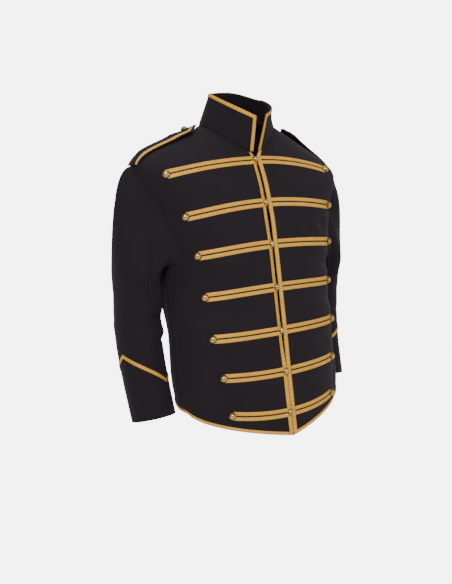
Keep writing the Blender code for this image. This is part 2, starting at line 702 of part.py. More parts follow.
def strap(name, side, finish):
    """One shoulder strap."""
    stations = [(STRAP_LENGTH - STRAP_POINT) * i / 8 for i in range(9)]
    stations += [STRAP_LENGTH - STRAP_POINT * (1 - i / 2) for i in (1, 2)]
    points = []
    for along in stations:
        half = strap_half(along)
        points.append([strap_point(side, along, half * (i - 2) / 2) for i in range(5)])
    return sheet(name, points, STRAP_CLOTH, finish)


def strap_tape(name, side, finish):
    """Tape inside the strap's border, round its point."""
    lift = STRAP_CLOTH / 2 + LAY_GAP + 0.0002 + TAPE_THICK / 2
    lines = []
    for inset in (STRAP_TAPE_INSET + STRAP_TAPE_WIDTH, STRAP_TAPE_INSET):
        corner = STRAP_LENGTH - STRAP_POINT - 0.40 * inset
        tip = STRAP_LENGTH - 0.0012 - 1.35 * inset
        half = STRAP_HALF - inset
        line = [((STRAP_LENGTH - STRAP_POINT) * i / 8 if i < 8 else corner, half) for i in range(9)]
        line[0] = (0.0012, half)
        line += [(corner + (tip - corner) * i / 2, half * (1 - i / 2)) for i in (1, 2)]
        line += [(along, -sideways) for along, sideways in line[-2::-1]]
        lines.append([strap_point(side, along, sideways, lift) for along, sideways in line])
    return sheet(name, lines, TAPE_THICK, finish)


def strap_button(name, side, shape):
    """The button near the strap's point."""
    along = STRAP_LENGTH - STRAP_POINT - 0.0035
    point = strap_point(side, along, 0.0, STRAP_CLOTH / 2 + LAY_GAP + 0.0004)
    normal = (strap_point(side, along, 0.0, 0.01) - strap_point(side, along, 0.0)).normalized()
    button(name, shape, point, normal)


def main():
    """Builds the jacket."""
    for left_over in list(bpy.data.objects):
        bpy.data.objects.remove(left_over)
    wool = material("black_wool", (0.012, 0.011, 0.013), 0.85)
    gold = material("gold_tape", (0.60, 0.38, 0.10), 0.55)
    brass = material("brass", (0.55, 0.42, 0.22), 0.3, 1.0)
    end_shape = turned("end_button_shape", END_BUTTON, brass)
    middle_shape = turned("middle_button_shape", MIDDLE_BUTTON, brass)
    strap_shape = turned("strap_button_shape", STRAP_BUTTON, brass)
    back_panel("back", wool)
    stand_collar(wool)
    collar_tape(gold)
    hem_tape(gold)
    for word, side in SIDES.items():
        front_panel(f"front_{word}", side, wool)
        edge_tape(f"edge_tape_{word}", side, gold)
        sleeve_piece(f"sleeve_top_{word}", side, -SLEEVE_SEAM, SLEEVE_SEAM, wool)
        sleeve_piece(f"sleeve_under_{word}", side, SLEEVE_SEAM, 360.0 - SLEEVE_SEAM, wool)
        cuff_tape(f"cuff_tape_{word}", side, gold)
        strap(f"strap_{word}", side, wool)
        strap_tape(f"strap_tape_{word}", side, gold)
        strap_button(f"strap_button_{word}", side, strap_shape)
        for number, row in enumerate(ROWS, 1):
            row_tape(f"row_{number}_{word}", side, row, gold)
    for number, row in enumerate(ROWS, 1):
        row_buttons(number, row, end_shape, middle_shape)


main()
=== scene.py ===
"""Dresses the military parade jacket: black wool shell, gold tape, domed brass buttons, in its worn form.

Metres, +Z up. The wearer faces -Y, and the wearer's left is +X. The cloth lies on three surfaces, the body, the
collar and the sleeves, and every tape, strap and button is placed on the surface that carries it.
"""

from __future__ import annotations

import logging
import math
from dataclasses import astuple, dataclass
from enum import Enum, IntEnum
from functools import lru_cache
from typing import Callable, Optional, Sequence

import bmesh
import bpy
from mathutils import Matrix, Vector


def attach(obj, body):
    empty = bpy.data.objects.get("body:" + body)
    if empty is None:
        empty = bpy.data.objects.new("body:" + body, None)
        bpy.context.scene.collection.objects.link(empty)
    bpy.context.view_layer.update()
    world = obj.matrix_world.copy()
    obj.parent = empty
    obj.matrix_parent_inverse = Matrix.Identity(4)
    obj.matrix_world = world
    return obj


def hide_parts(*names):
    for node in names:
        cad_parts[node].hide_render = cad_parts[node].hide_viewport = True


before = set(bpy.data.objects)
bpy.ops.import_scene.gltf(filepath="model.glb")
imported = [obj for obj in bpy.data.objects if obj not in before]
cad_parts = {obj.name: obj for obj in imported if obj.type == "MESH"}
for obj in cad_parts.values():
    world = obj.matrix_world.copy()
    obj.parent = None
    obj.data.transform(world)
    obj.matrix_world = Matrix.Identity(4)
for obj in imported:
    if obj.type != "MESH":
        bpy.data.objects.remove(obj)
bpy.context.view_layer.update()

log = logging.getLogger("parade_jacket")

ROOT = "root"
CLOTH = 0.0022
COLLAR_CLOTH = 0.0026
STRAP_CLOTH = 0.0028
TAPE_WIDTH = 0.0069
EDGE_TAPE_WIDTH = 0.0092
TAPE_THICK = 0.0011
SEWN_ON = 0.0001
TAPE_LIFT = CLOTH / 2 + SEWN_ON + TAPE_THICK / 2
SEAM_DIP, SEAM_REACH = 0.0009, 0.0034
# Places across a tape from edge to edge, and how far each lies below its middle.
TAPE_SECTION = ((0.0, 0.00035), (0.10, 0.00008), (0.36, 0.0), (0.64, 0.0), (0.90, 0.00008), (1.0, 0.00035))

Place = tuple[float, float]
Line = list[Vector]


class Side(IntEnum):
    """A side of the wearer, as the sign of X."""

    RIGHT = -1
    LEFT = 1

    @property
    def word(self) -> str:
        """The side's word in node names."""
        return self.name.lower()


class Held(Enum):
    """How a sheet of cloth is held."""

    HUNG = "hung"
    STRETCHED = "stretched"


class Slot(Enum):
    """The record's material slots."""

    WOOL = "wool"
    GOLD = "gold_tape"
    BRASS = "brass"


@dataclass(frozen=True)
class Ring:
    """A rounded ring: its half width, its y and z at the front, side and back, and how square each half is.

    left_low is how much lower the wearer's left side stands, tilt how much the shoulder falls away to the back, and
    point how straight the edge runs down from the side to a point in front.
    """

    z_front: float
    z_side: float
    z_back: float
    half: float
    y_front: float
    y_side: float
    y_back: float
    square_front: float
    square_back: float
    left_low: float = 0.0
    tilt: float = 0.0
    point: float = 0.0


@dataclass(frozen=True)
class Hole:
    """A level of the armhole: its ring number, and the turns of its front and back edges."""

    at: float
    front: float
    back: float


@dataclass(frozen=True)
class ArmRing:
    """A section of the arm: its centre, with x out from the middle, and its half widths."""

    x: float
    y: float
    z: float
    half_side: float
    half_fore: float


@dataclass(frozen=True)
class Row:
    """A row of doubled tape: z at the front edge, and for each side its reach and how far its end hangs."""

    z: float
    start: float
    reach: tuple[float, float]
    hang: tuple[float, float]

    def out(self, side: Side) -> float:
        """How far out the end button is."""
        return self.reach[0 if side == Side.RIGHT else 1]

    def height(self, side: Side, x: float) -> float:
        """The z of the row's middle line at x out from the front edge."""
        return self.z - self.hang[0 if side == Side.RIGHT else 1] * (x / self.out(side)) ** 2


@dataclass(frozen=True)
class Crease:
    """A soft fold of the body along a line in x and z, with its half width and height, minus for a trough."""

    x1: float
    z1: float
    x2: float
    z2: float
    half: float
    height: float
    side: Optional[Side] = None

    def rise(self, side: Side, x: float, z: float) -> float:
        """How far the crease lifts the cloth.

        Args:
            side: the side of the wearer.
            x: distance out from the middle.
            z: height.

        Returns:
            The lift in metres.
        """
        if self.side is not None and self.side != side:
            return 0.0
        long_x, long_z = self.x2 - self.x1, self.z2 - self.z1
        here_x, here_z = x - self.x1, z - self.z1
        share = (here_x * long_x + here_z * long_z) / (long_x**2 + long_z**2)
        share = min(max(share, -0.15), 1.15)
        away = math.hypot(here_x - long_x * share, here_z - long_z * share) / self.half
        if away > 3.0:
            return 0.0
        return self.height * math.sin(math.pi * (share + 0.15) / 1.3) * math.exp(-away * away)


@dataclass(frozen=True)
class SleeveCrease:
    """A soft fold of a sleeve: where it crosses, its reach each way, its slant and its height."""

    turn: float
    at: float
    turn_half: float
    at_half: float
    slant: float
    height: float
    side: Optional[Side] = None

    def rise(self, side: Side, turn: float, at: float) -> float:
        """How far the crease lifts the cloth.

        Args:
            side: the side of the wearer.
            turn: degrees round the sleeve from its outside.
            at: section number.

        Returns:
            The lift in metres.
        """
        if self.side is not None and self.side != side:
            return 0.0
        off = (turn - self.turn - self.slant * (at - self.at) / self.at_half + 180.0) % 360.0 - 180.0
        a, b = off / self.turn_half, (at - self.at) / self.at_half
        return self.height * math.exp(-a * a - b * b)


BODY_RINGS = [
    Ring(z_front=-0.588, z_side=-0.533, z_back=-0.524, half=0.1735, y_front=-0.168, y_side=-0.0714,
         y_back=0.080, square_front=-0.015, square_back=0.02, left_low=-0.010, point=1.0),
    Ring(z_front=-0.505, z_side=-0.475, z_back=-0.476, half=0.1775, y_front=-0.157, y_side=-0.0533,
         y_back=0.076, square_front=0.016, square_back=0.02),
    Ring(z_front=-0.410, z_side=-0.390, z_back=-0.387, half=0.1770, y_front=-0.144, y_side=-0.0396,
         y_back=0.071, square_front=0.038, square_back=0.02),
    Ring(z_front=-0.315, z_side=-0.305, z_back=-0.300, half=0.1772, y_front=-0.131, y_side=-0.0256,
         y_back=0.086, square_front=0.043, square_back=0.03),
    Ring(z_front=-0.235, z_side=-0.225, z_back=-0.222, half=0.1840, y_front=-0.120, y_side=-0.0128,
         y_back=0.102, square_front=0.060, square_back=0.03, left_low=0.003, tilt=0.02),
    Ring(z_front=-0.170, z_side=-0.147, z_back=-0.152, half=0.2000, y_front=-0.108, y_side=-0.0040,
         y_back=0.106, square_front=0.060, square_back=0.04, left_low=0.016, tilt=0.07),
    Ring(z_front=-0.115, z_side=-0.068, z_back=-0.088, half=0.2270, y_front=-0.094, y_side=0.0000,
         y_back=0.092, square_front=0.045, square_back=0.04, left_low=0.033, tilt=0.16),
    Ring(z_front=-0.078, z_side=-0.026, z_back=-0.028, half=0.1480, y_front=-0.079, y_side=-0.0060,
         y_back=0.068, square_front=0.010, square_back=0.02, left_low=0.015, tilt=0.20),
    Ring(z_front=-0.0500, z_side=-0.0008, z_back=0.0130, half=0.0805, y_front=-0.0640, y_side=-0.0165,
         y_back=0.0480, square_front=-0.04, square_back=0.0),
]
TIP_ROW, NECK_ROW = 6, 8

ARMHOLE = [
    Hole(at=3.60, front=90.0, back=90.0),
    Hole(at=3.68, front=73.0, back=108.0),
    Hole(at=3.97, front=64.5, back=115.0),
    Hole(at=4.50, front=71.5, back=115.0),
    Hole(at=5.06, front=75.0, back=111.0),
    Hole(at=5.60, front=78.0, back=103.0),
    Hole(at=6.00, front=90.0, back=90.0),
]

COLLAR_RINGS = [
    Ring(z_front=-0.0482, z_side=0.0012, z_back=0.0148, half=0.0809, y_front=-0.0645, y_side=-0.0165,
         y_back=0.0484, square_front=-0.04, square_back=0.0),
    Ring(z_front=0.0150, z_side=0.0620, z_back=0.0665, half=0.0590, y_front=-0.0855, y_side=-0.0135,
         y_back=0.0180, square_front=0.02, square_back=0.0, left_low=0.012, point=1.0),
]
COLLAR_HEIGHT = 0.066

# How far each front edge stands from the middle at ring numbers, and each collar end at its seam and top.
FRONT_OPENING = {
    Side.RIGHT: ((0.0, 0.0001), (1.5, 0.0001), (2.2, 0.0012), (4.2, 0.0013), (4.9, 0.0024), (5.5, 0.0013),
                 (7.6, 0.0012), (8.0, 0.0020)),
    Side.LEFT: ((0.0, 0.0001), (1.5, 0.0001), (2.2, 0.0012), (4.2, 0.0013), (4.9, 0.0024), (5.5, 0.0013),
                (7.5, 0.0012), (7.7, 0.0034), (8.0, 0.0118)),
}
COLLAR_OPENING = {Side.RIGHT: (0.0020, 0.0056), Side.LEFT: (0.0118, 0.0155)}

ROWS = [
    Row(z=-0.0655, start=0.0132, reach=(0.194, 0.172), hang=(0.018, 0.025)),
    Row(z=-0.1450, start=0.0116, reach=(0.167, 0.164), hang=(0.016, 0.016)),
    Row(z=-0.2230, start=0.0126, reach=(0.152, 0.156), hang=(0.010, 0.010)),
    Row(z=-0.3040, start=0.0116, reach=(0.144, 0.146), hang=(0.006, 0.006)),
    Row(z=-0.3862, start=0.0116, reach=(0.139, 0.143), hang=(0.001, 0.001)),
    Row(z=-0.4640, start=0.0116, reach=(0.127, 0.131), hang=(-0.003, -0.003)),
    Row(z=-0.5420, start=0.0116, reach=(0.117, 0.121), hang=(-0.009, -0.009)),
]
ROW_TAPE_SPACE = 0.0027
# How deep the folds are against their own measures.
FOLDS = 1.35
# How far the right front edge turns in between its buttons, over what width, and how much of it at a button.
EDGE_CURL, EDGE_CURL_REACH, EDGE_CURL_HELD = 0.0042, 0.015, 0.35

ARM = [
    ArmRing(x=0.2236, y=0.0195, z=-0.280, half_side=0.0400, half_fore=0.0580),
    ArmRing(x=0.2200, y=0.0236, z=-0.330, half_side=0.0438, half_fore=0.0538),
    ArmRing(x=0.2205, y=0.0240, z=-0.400, half_side=0.0418, half_fore=0.0500),
    ArmRing(x=0.2168, y=0.0138, z=-0.470, half_side=0.0412, half_fore=0.0476),
    ArmRing(x=0.2125, y=-0.0051, z=-0.5476, half_side=0.0408, half_fore=0.0453),
]
LEFT_CUFF_HIGHER, LEFT_HEAD_FULLER = 0.010, 1.3
# How the sleeve leaves the armhole at the top, the front and back, and under the arm: lean and pull.
LEAVES = ((72.0, 0.150), (30.0, 0.078), (28.0, 0.042))
SLEEVE_SEAM = 120.0
CUFF_TURN = {Side.RIGHT: 10.0, Side.LEFT: -14.0}
CUFF_PEAK, CUFF_VALLEY, CUFF_INNER = 0.128, 0.066, 0.084

STRAP_LENGTH, STRAP_HALF, STRAP_POINT = 0.148, 0.021, 0.020
STRAP_TAPE_INSET, STRAP_TAPE_WIDTH = 0.0015, 0.0055
STRAP_LIFT = CLOTH / 2 + 0.0010 + STRAP_CLOTH / 2
STRAP_TIP_RISE = 0.007
# How much of the shoulder's roundness the stiff strap's point doesn't follow, and how high the strap arches.
STRAP_FLAT, STRAP_ARCH, STRAP_LEAN = 0.6, 0.0062, 0.06
END_BUTTON, MIDDLE_BUTTON, STRAP_BUTTON = 0.0074, 0.0063, 0.0070

FRONT_CREASES = [
    Crease(0.172, -0.232, 0.128, -0.188, 0.012, -0.0048),
    Crease(0.168, -0.252, 0.108, -0.196, 0.011, 0.0040),
    Crease(0.172, -0.285, 0.095, -0.258, 0.014, -0.0036),
    Crease(0.190, -0.100, 0.176, -0.200, 0.011, 0.0016),
    Crease(0.060, -0.046, 0.100, -0.105, 0.013, -0.0022),
    Crease(0.175, -0.350, 0.105, -0.340, 0.016, -0.0024),
    Crease(0.172, -0.400, 0.095, -0.425, 0.016, -0.0028),
    Crease(0.172, -0.470, 0.150, -0.540, 0.018, 0.0024),
    Crease(0.160, -0.262, 0.135, -0.215, 0.005, 0.0014),
    Crease(0.150, -0.300, 0.060, -0.262, 0.008, -0.0016, Side.RIGHT),
    Crease(0.150, -0.290, 0.090, -0.270, 0.007, 0.0015, Side.LEFT),
    Crease(0.160, -0.330, 0.120, -0.318, 0.007, 0.0013),
    Crease(0.140, -0.425, 0.120, -0.520, 0.012, -0.0022, Side.RIGHT),
    Crease(0.150, -0.430, 0.138, -0.505, 0.011, -0.0018, Side.LEFT),
    Crease(0.074, -0.056, 0.085, -0.100, 0.006, 0.0011, Side.RIGHT),
    Crease(0.050, -0.050, 0.060, -0.095, 0.005, -0.0009),
    Crease(0.130, -0.090, 0.070, -0.120, 0.010, 0.0011, Side.RIGHT),
    Crease(0.135, -0.180, 0.070, -0.198, 0.010, -0.0012),
    Crease(0.100, -0.352, 0.040, -0.340, 0.009, 0.0010, Side.RIGHT),
    Crease(0.090, -0.500, 0.030, -0.508, 0.010, -0.0012),
    Crease(0.080, -0.420, 0.020, -0.428, 0.010, 0.0009, Side.LEFT),
]
BACK_CREASES = [
    Crease(0.062, -0.180, 0.048, -0.500, 0.020, -0.0030, Side.RIGHT),
    Crease(0.050, -0.220, 0.066, -0.480, 0.018, -0.0026, Side.LEFT),
    Crease(0.118, -0.260, 0.102, -0.520, 0.018, 0.0028),
    Crease(0.150, -0.245, 0.080, -0.180, 0.014, -0.0030),
    Crease(0.155, -0.270, 0.095, -0.225, 0.012, 0.0024),
    Crease(0.140, -0.330, 0.040, -0.352, 0.013, -0.0024, Side.RIGHT),
    Crease(0.130, -0.366, 0.030, -0.380, 0.014, 0.0022, Side.LEFT),
    Crease(0.070, -0.405, 0.000, -0.392, 0.012, -0.0018),
    Crease(0.036, -0.012, 0.098, -0.070, 0.012, -0.0018),
    Crease(0.110, -0.070, 0.150, -0.150, 0.014, 0.0016),
    Crease(0.162, -0.290, 0.166, -0.380, 0.016, 0.0045),
]
SLEEVE_CREASES = [
    SleeveCrease(98.0, 0.95, 12.0, 0.70, 4.0, -0.0046),
    SleeveCrease(74.0, 1.10, 13.0, 0.80, 6.0, 0.0032),
    SleeveCrease(112.0, 2.35, 45.0, 0.17, 0.0, -0.0042),
    SleeveCrease(120.0, 2.75, 42.0, 0.17, 0.0, 0.0034),
    SleeveCrease(-80.0, 1.20, 15.0, 0.70, -6.0, -0.0040),
    SleeveCrease(100.0, 2.55, 30.0, 0.09, 8.0, -0.0022),
    SleeveCrease(88.0, 2.05, 26.0, 0.10, -6.0, 0.0018),
    SleeveCrease(60.0, 1.80, 10.0, 0.50, 8.0, -0.0016, Side.RIGHT),
    SleeveCrease(30.0, 1.40, 12.0, 0.55, -8.0, 0.0012),
    SleeveCrease(-30.0, 1.70, 14.0, 0.50, 10.0, -0.0014),
    SleeveCrease(60.0, 3.05, 26.0, 0.10, 0.0, -0.0014),
    SleeveCrease(-60.0, 2.60, 30.0, 0.12, 8.0, 0.0018),
    SleeveCrease(-100.0, 2.35, 34.0, 0.13, 0.0, -0.0022),
    SleeveCrease(150.0, 3.00, 30.0, 0.12, 0.0, -0.0020),
]


class Table:
    """Rows of named values, read on a smooth curve through them."""

    def __init__(self, rows: Sequence[object]) -> None:
        """Keeps the rows as plain tuples."""
        self.kind = type(rows[0])
        self.rows = [astuple(row) for row in rows]
        self.read = lru_cache(maxsize=None)(self._read)

    def _read(self, at: float) -> object:
        """Reads the table.

        Args:
            at: a fractional row number.

        Returns:
            A row of the table's own kind.
        """
        rows = self.rows
        at = min(max(at, 0.0), len(rows) - 1.0)
        first = min(int(at), len(rows) - 2)
        share = at - first
        values = []
        for column, (b, c) in enumerate(zip(rows[first], rows[first + 1])):
            a = rows[first - 1][column] if first > 0 else 2 * b - c
            d = rows[first + 2][column] if first + 2 < len(rows) else 2 * c - b
            curve = c - a + share * (2 * a - 5 * b + 4 * c - d + share * (3 * (b - c) + d - a))
            values.append(b + 0.5 * share * curve)
        return self.kind(*values)


def line_at(points: Sequence[Place], at: float) -> float:
    """Reads a short list of (place, value) pairs, straight between them.

    Args:
        points: the pairs, in order.
        at: the place to read.

    Returns:
        The value there.
    """
    for (place, value), (next_place, next_value) in zip(points, points[1:]):
        if at <= next_place:
            return value + (next_value - value) * max(0.0, at - place) / (next_place - place)
    return points[-1][1]


def ring_point(ring: Ring, side: Side, turn: float) -> Vector:
    """A point of a ring.

    Args:
        ring: the ring.
        side: the side of the wearer.
        turn: degrees round it, 0 in front, 90 at the side and 180 at the back.

    Returns:
        The point.
    """
    angle = math.radians(turn)
    front = turn < 90.0
    square = ring.square_front if front else ring.square_back
    depth = ring.y_side - ring.y_front if front else ring.y_back - ring.y_side
    z_end = ring.z_front if front else ring.z_back
    x = side * ring.half * (math.sin(angle) + square * math.sin(3 * angle)) / (1 - square)
    y = ring.y_side + depth * (square * math.cos(3 * angle) - math.cos(angle)) / (1 - square)
    z_side = ring.z_side - (ring.left_low if side == Side.LEFT else 0.0) - ring.tilt * (y - ring.y_side)
    share = math.cos(angle) ** 2
    if front:
        share += ring.point * (1.0 - abs(turn) / 90.0 - share)
    return Vector((x, y, z_end * share + z_side * (1.0 - share)))


@dataclass(frozen=True)
class Spot:
    """A point of a surface with its outward normal and its speeds in turn and section number."""

    point: Vector
    normal: Vector
    along_turn: Vector
    along_at: Vector


def spot_on(surface: Callable[[float, float], Vector], u: float, v: float, step_v: float, side: Side) -> Spot:
    """Measures a surface at a place.

    Args:
        surface: the surface as a function of turn and section number.
        u: the turn.
        v: the section number.
        step_v: the step taken in section number.
        side: the side of the wearer, which says which way is out.

    Returns:
        The spot there.
    """
    along_u = surface(u + 0.5, v) - surface(u - 0.5, v)
    along_v = (surface(u, v + step_v) - surface(u, v - step_v)) / (2 * step_v)
    return Spot(surface(u, v), along_u.cross(along_v).normalized() * side, along_u, along_v)


class CollarShape:
    """The stand collar's surface. Section numbers run from 0 at its seam to 1 at its top edge."""

    def __init__(self) -> None:
        """Reads the collar's rings."""
        self.rings = Table(COLLAR_RINGS)

    def point(self, side: Side, turn: float, at: float, lift: float = 0.0) -> Vector:
        """A point of the collar.

        Args:
            side: the side of the wearer.
            turn: degrees round the neck from the front.
            at: section number.
            lift: distance moved out.

        Returns:
            The point.
        """
        at = min(max(at, 0.002), 0.998)
        spot = spot_on(lambda u, v: ring_point(self.rings.read(v), side, u), turn, at, 0.01, side)
        return spot.point + spot.normal * lift

    def start(self, side: Side, at: float) -> float:
        """The turn of the collar's open end at a section number."""
        seam, top = COLLAR_OPENING[side]
        half = seam + (top - seam) * at
        return math.degrees(math.asin(half / self.rings.read(at).half))


class BodyShape:
    """The body's surface. Section numbers run from 0 at the hem to 8 at the neck seam."""

    def __init__(self) -> None:
        """Reads the body's rings and the armhole."""
        self.rings = Table(BODY_RINGS)
        self.hole = Table(ARMHOLE)

    def crease(self, side: Side, point: Vector) -> float:
        """How far the folds stand out at a point. The rows of tape hold the cloth flat.

        Args:
            side: the side of the wearer.
            point: a point of the smooth body.

        Returns:
            The lift in metres.
        """
        x, z = abs(point.x), point.z
        if point.y > 0.0:
            height = sum(crease.rise(side, x, z) for crease in BACK_CREASES)
            return FOLDS * height * min(1.0, point.y / 0.03)
        if point.y > -0.02:
            return 0.0
        height = sum(crease.rise(side, x, z) for crease in FRONT_CREASES)
        for row in ROWS:
            if x < row.out(side) + 0.020:
                height *= min(1.0, max(0.0, abs(z - row.height(side, x)) - 0.017) / 0.012)
        return FOLDS * height * min(1.0, (-0.02 - point.y) / 0.02) - self.curl(side, x, z)

    @staticmethod
    def curl(side: Side, x: float, z: float) -> float:
        """How far the right front edge turns in.

        Args:
            side: the side of the wearer.
            x: distance out from the middle.
            z: height.

        Returns:
            The depth in metres.
        """
        if side == Side.LEFT or x > EDGE_CURL_REACH:
            return 0.0
        loose = min(1.0, min(abs(z - row.z) for row in ROWS) / 0.013)
        closed = min(max((z + 0.455) / 0.050, 0.12), 1.0)
        depth = EDGE_CURL * closed * (EDGE_CURL_HELD + (1.0 - EDGE_CURL_HELD) * loose)
        return depth * (1.0 - x / EDGE_CURL_REACH) ** 1.6

    def point(self, side: Side, turn: float, at: float, lift: float = 0.0) -> Vector:
        """A point of the folded body.

        Args:
            side: the side of the wearer.
            turn: degrees round the body from the front.
            at: section number.
            lift: distance moved out.

        Returns:
            The point.
        """
        at = min(max(at, 0.002), NECK_ROW - 0.002)
        spot = spot_on(lambda u, v: ring_point(self.rings.read(v), side, u), turn, at, 0.02, side)
        return spot.point + spot.normal * (self.crease(side, spot.point) + lift)

    def spot(self, side: Side, turn: float, at: float) -> Spot:
        """The folded body's spot at a place."""
        return spot_on(lambda u, v: self.point(side, u, v), turn, at, 0.02, side)

    def front_edge(self, side: Side, at: float) -> float:
        """The turn of a front edge at a section number."""
        ring = self.rings.read(at)
        half = line_at(FRONT_OPENING[side], at)
        return math.degrees(half * (1 - ring.square_front) / (ring.half * (1 + 3 * ring.square_front)))

    def armhole(self, share: float, back: bool = False) -> Place:
        """A place on the armhole.

        Args:
            share: 0 at the armpit and 1 at the shoulder's tip; past either end it comes back on the other edge.
            back: whether it is the back edge.

        Returns:
            Its turn and section number.
        """
        if not 0.0 <= share <= 1.0:
            share, back = (-share if share < 0.0 else 2.0 - share), not back
        row = self.hole.read(share * (len(ARMHOLE) - 1))
        return (row.back if back else row.front), row.at

    def find(self, side: Side, x: float, z: float, guess: Place) -> Place:
        """Finds the place on a front with this x and z.

        Args:
            side: the side of the wearer.
            x: distance out from the middle.
            z: height.
            guess: a place near it.

        Returns:
            The place.
        """
        turn, at = guess
        for _ in range(12):
            spot = self.spot(side, turn, at)
            miss_x, miss_z = side * x - spot.point.x, z - spot.point.z
            spread = spot.along_turn.x * spot.along_at.z - spot.along_turn.z * spot.along_at.x
            turn += (miss_x * spot.along_at.z - miss_z * spot.along_at.x) / spread
            at += (miss_z * spot.along_turn.x - miss_x * spot.along_turn.z) / spread
            turn, at = min(max(turn, 0.0), 100.0), min(max(at, 0.0), NECK_ROW - 0.01)
            if abs(miss_x) + abs(miss_z) < 1e-6:
                break
        return turn, at

    def walk(self, side: Side, place: Place, step: Vector) -> Place:
        """Walks a small step along the body.

        Args:
            side: the side of the wearer.
            place: the place to start from.
            step: the step as a vector.

        Returns:
            The place reached.
        """
        turn, at = place
        target = self.point(side, turn, at) + step
        for _ in range(3):
            spot = self.spot(side, turn, at)
            miss = target - spot.point
            a, b = spot.along_turn.length_squared, spot.along_turn.dot(spot.along_at)
            c = spot.along_at.length_squared
            d, e = miss.dot(spot.along_turn), miss.dot(spot.along_at)
            turn += (d * c - e * b) / (a * c - b * b)
            at += (e * a - d * b) / (a * c - b * b)
        return turn, at


class SleeveShape:
    """A sleeve's surface: turn 0 is outside, 90 in front and 180 inside, and sections run from 0 to 5."""

    def __init__(self, side: Side, body: BodyShape) -> None:
        """Joins the sleeve to its armhole."""
        self.side = side
        self.body = body
        self.arm = Table(ARM)
        self.start = lru_cache(maxsize=None)(self._start)
        self.centre = lru_cache(maxsize=None)(self._centre)

    def hole_place(self, turn: float) -> Place:
        """The place of the armhole at a turn from the shoulder's tip round by the front."""
        turn %= 360.0
        return self.body.armhole((turn - 180.0) / 180.0, True) if turn > 180.0 else self.body.armhole(1 - turn / 180)

    def _start(self, turn: float) -> tuple[Vector, Vector]:
        """Where the sleeve leaves the armhole.

        Args:
            turn: degrees round the sleeve.

        Returns:
            The point and the way it leaves.
        """
        side, body = self.side, self.body
        spot = body.spot(side, *self.hole_place(turn))
        ahead, behind = self.hole_place(turn + 4.0), self.hole_place(turn - 4.0)
        along = (body.point(side, *ahead) - body.point(side, *behind)).normalized()
        inwards = spot.normal.cross(along).normalized()
        if inwards.dot(Vector((side * 0.205, -0.005, -0.150)) - spot.point) < 0:
            inwards = -inwards
        upright = math.cos(math.radians(turn))
        top, under = max(upright, 0.0) ** 1.3, max(-upright, 0.0) ** 2
        shares = (top, 1.0 - top - under, under)
        lean = math.radians(sum(share * leave[0] for share, leave in zip(shares, LEAVES)))
        pull = sum(share * leave[1] for share, leave in zip(shares, LEAVES))
        if side == Side.LEFT:
            pull *= 1.0 + (LEFT_HEAD_FULLER - 1.0) * min(1.0, 2.0 * top)
        return spot.point, (inwards * math.cos(lean) + spot.normal * math.sin(lean)) * pull

    def _centre(self, at: float) -> Vector:
        """Centre of an arm section."""
        row = self.arm.read(at)
        higher = LEFT_CUFF_HIGHER * at / (len(ARM) - 1) if self.side == Side.LEFT else 0.0
        return Vector((self.side * row.x, row.y, row.z + higher))

    def down(self, at: float) -> Vector:
        """The way down the arm at a section."""
        at = min(max(at, 0.02), len(ARM) - 1.02)
        return (self.centre(at + 0.02) - self.centre(at - 0.02)).normalized()

    def arm_point(self, turn: float, at: float) -> Vector:
        """A point of the sleeve below the armpit."""
        row, down = self.arm.read(at), self.down(at)
        outward = Vector((self.side, 0, 0))
        outward = (outward - down * outward.dot(down)).normalized()
        forward = down.cross(outward).normalized()
        forward = forward if forward.y < 0 else -forward
        angle = math.radians(turn)
        across = outward * row.half_side * math.cos(angle) + forward * row.half_fore * math.sin(angle)
        return self.centre(at) + across

    def smooth(self, turn: float, at: float) -> Vector:
        """The sleeve before its folds.

        Args:
            turn: degrees round it.
            at: section number, the sleeve head from 0 to 1 and then the arm.

        Returns:
            The point.
        """
        turn %= 360.0
        if at > 1.0:
            return self.arm_point(turn, at - 1.0)
        start, leave = self.start(turn)
        end = self.arm_point(turn, 0.0)
        arrive = self.down(0.0) * (end - start).length * 0.95
        b = at * at
        c = b * at
        return start * (2 * c - 3 * b + 1) + leave * (c - 2 * b + at) + end * (3 * b - 2 * c) + arrive * (c - b)

    def crease(self, turn: float, at: float) -> float:
        """How far the folds stand out, from nothing at the armhole to nothing at the cuff tape."""
        calm = min(max((at - 0.2) * 3, 0.0), 1.0) * min(max((3.25 - at) * 4, 0.0), 1.0)
        if calm <= 0.0:
            return 0.0
        return FOLDS * calm * sum(crease.rise(self.side, turn, at) for crease in SLEEVE_CREASES)

    def point(self, turn: float, at: float, lift: float = 0.0) -> Vector:
        """A point of the folded sleeve, moved out by lift."""
        inner = min(max(at, 0.02), len(ARM) - 0.02)
        across = self.smooth(turn + 2.0, inner) - self.smooth(turn - 2.0, inner)
        along = self.smooth(turn, inner + 0.02) - self.smooth(turn, inner - 0.02)
        normal = across.cross(along).normalized()
        if normal.dot(self.smooth(turn, inner) - self.smooth(turn + 180.0, inner)) < 0:
            normal = -normal
        return self.smooth(turn, at) + normal * (self.crease(turn, at) + lift)

    def cuff_distance(self, turn: float) -> float:
        """How far the middle of the cuff tape lies from the cuff's end."""
        off = (turn + 180.0) % 360.0 - 180.0
        marks = [(-180.0, CUFF_INNER), (-SLEEVE_SEAM, CUFF_VALLEY), (CUFF_TURN[self.side], CUFF_PEAK),
                 (SLEEVE_SEAM, CUFF_VALLEY), (180.0, CUFF_INNER)]
        return line_at(marks, off)


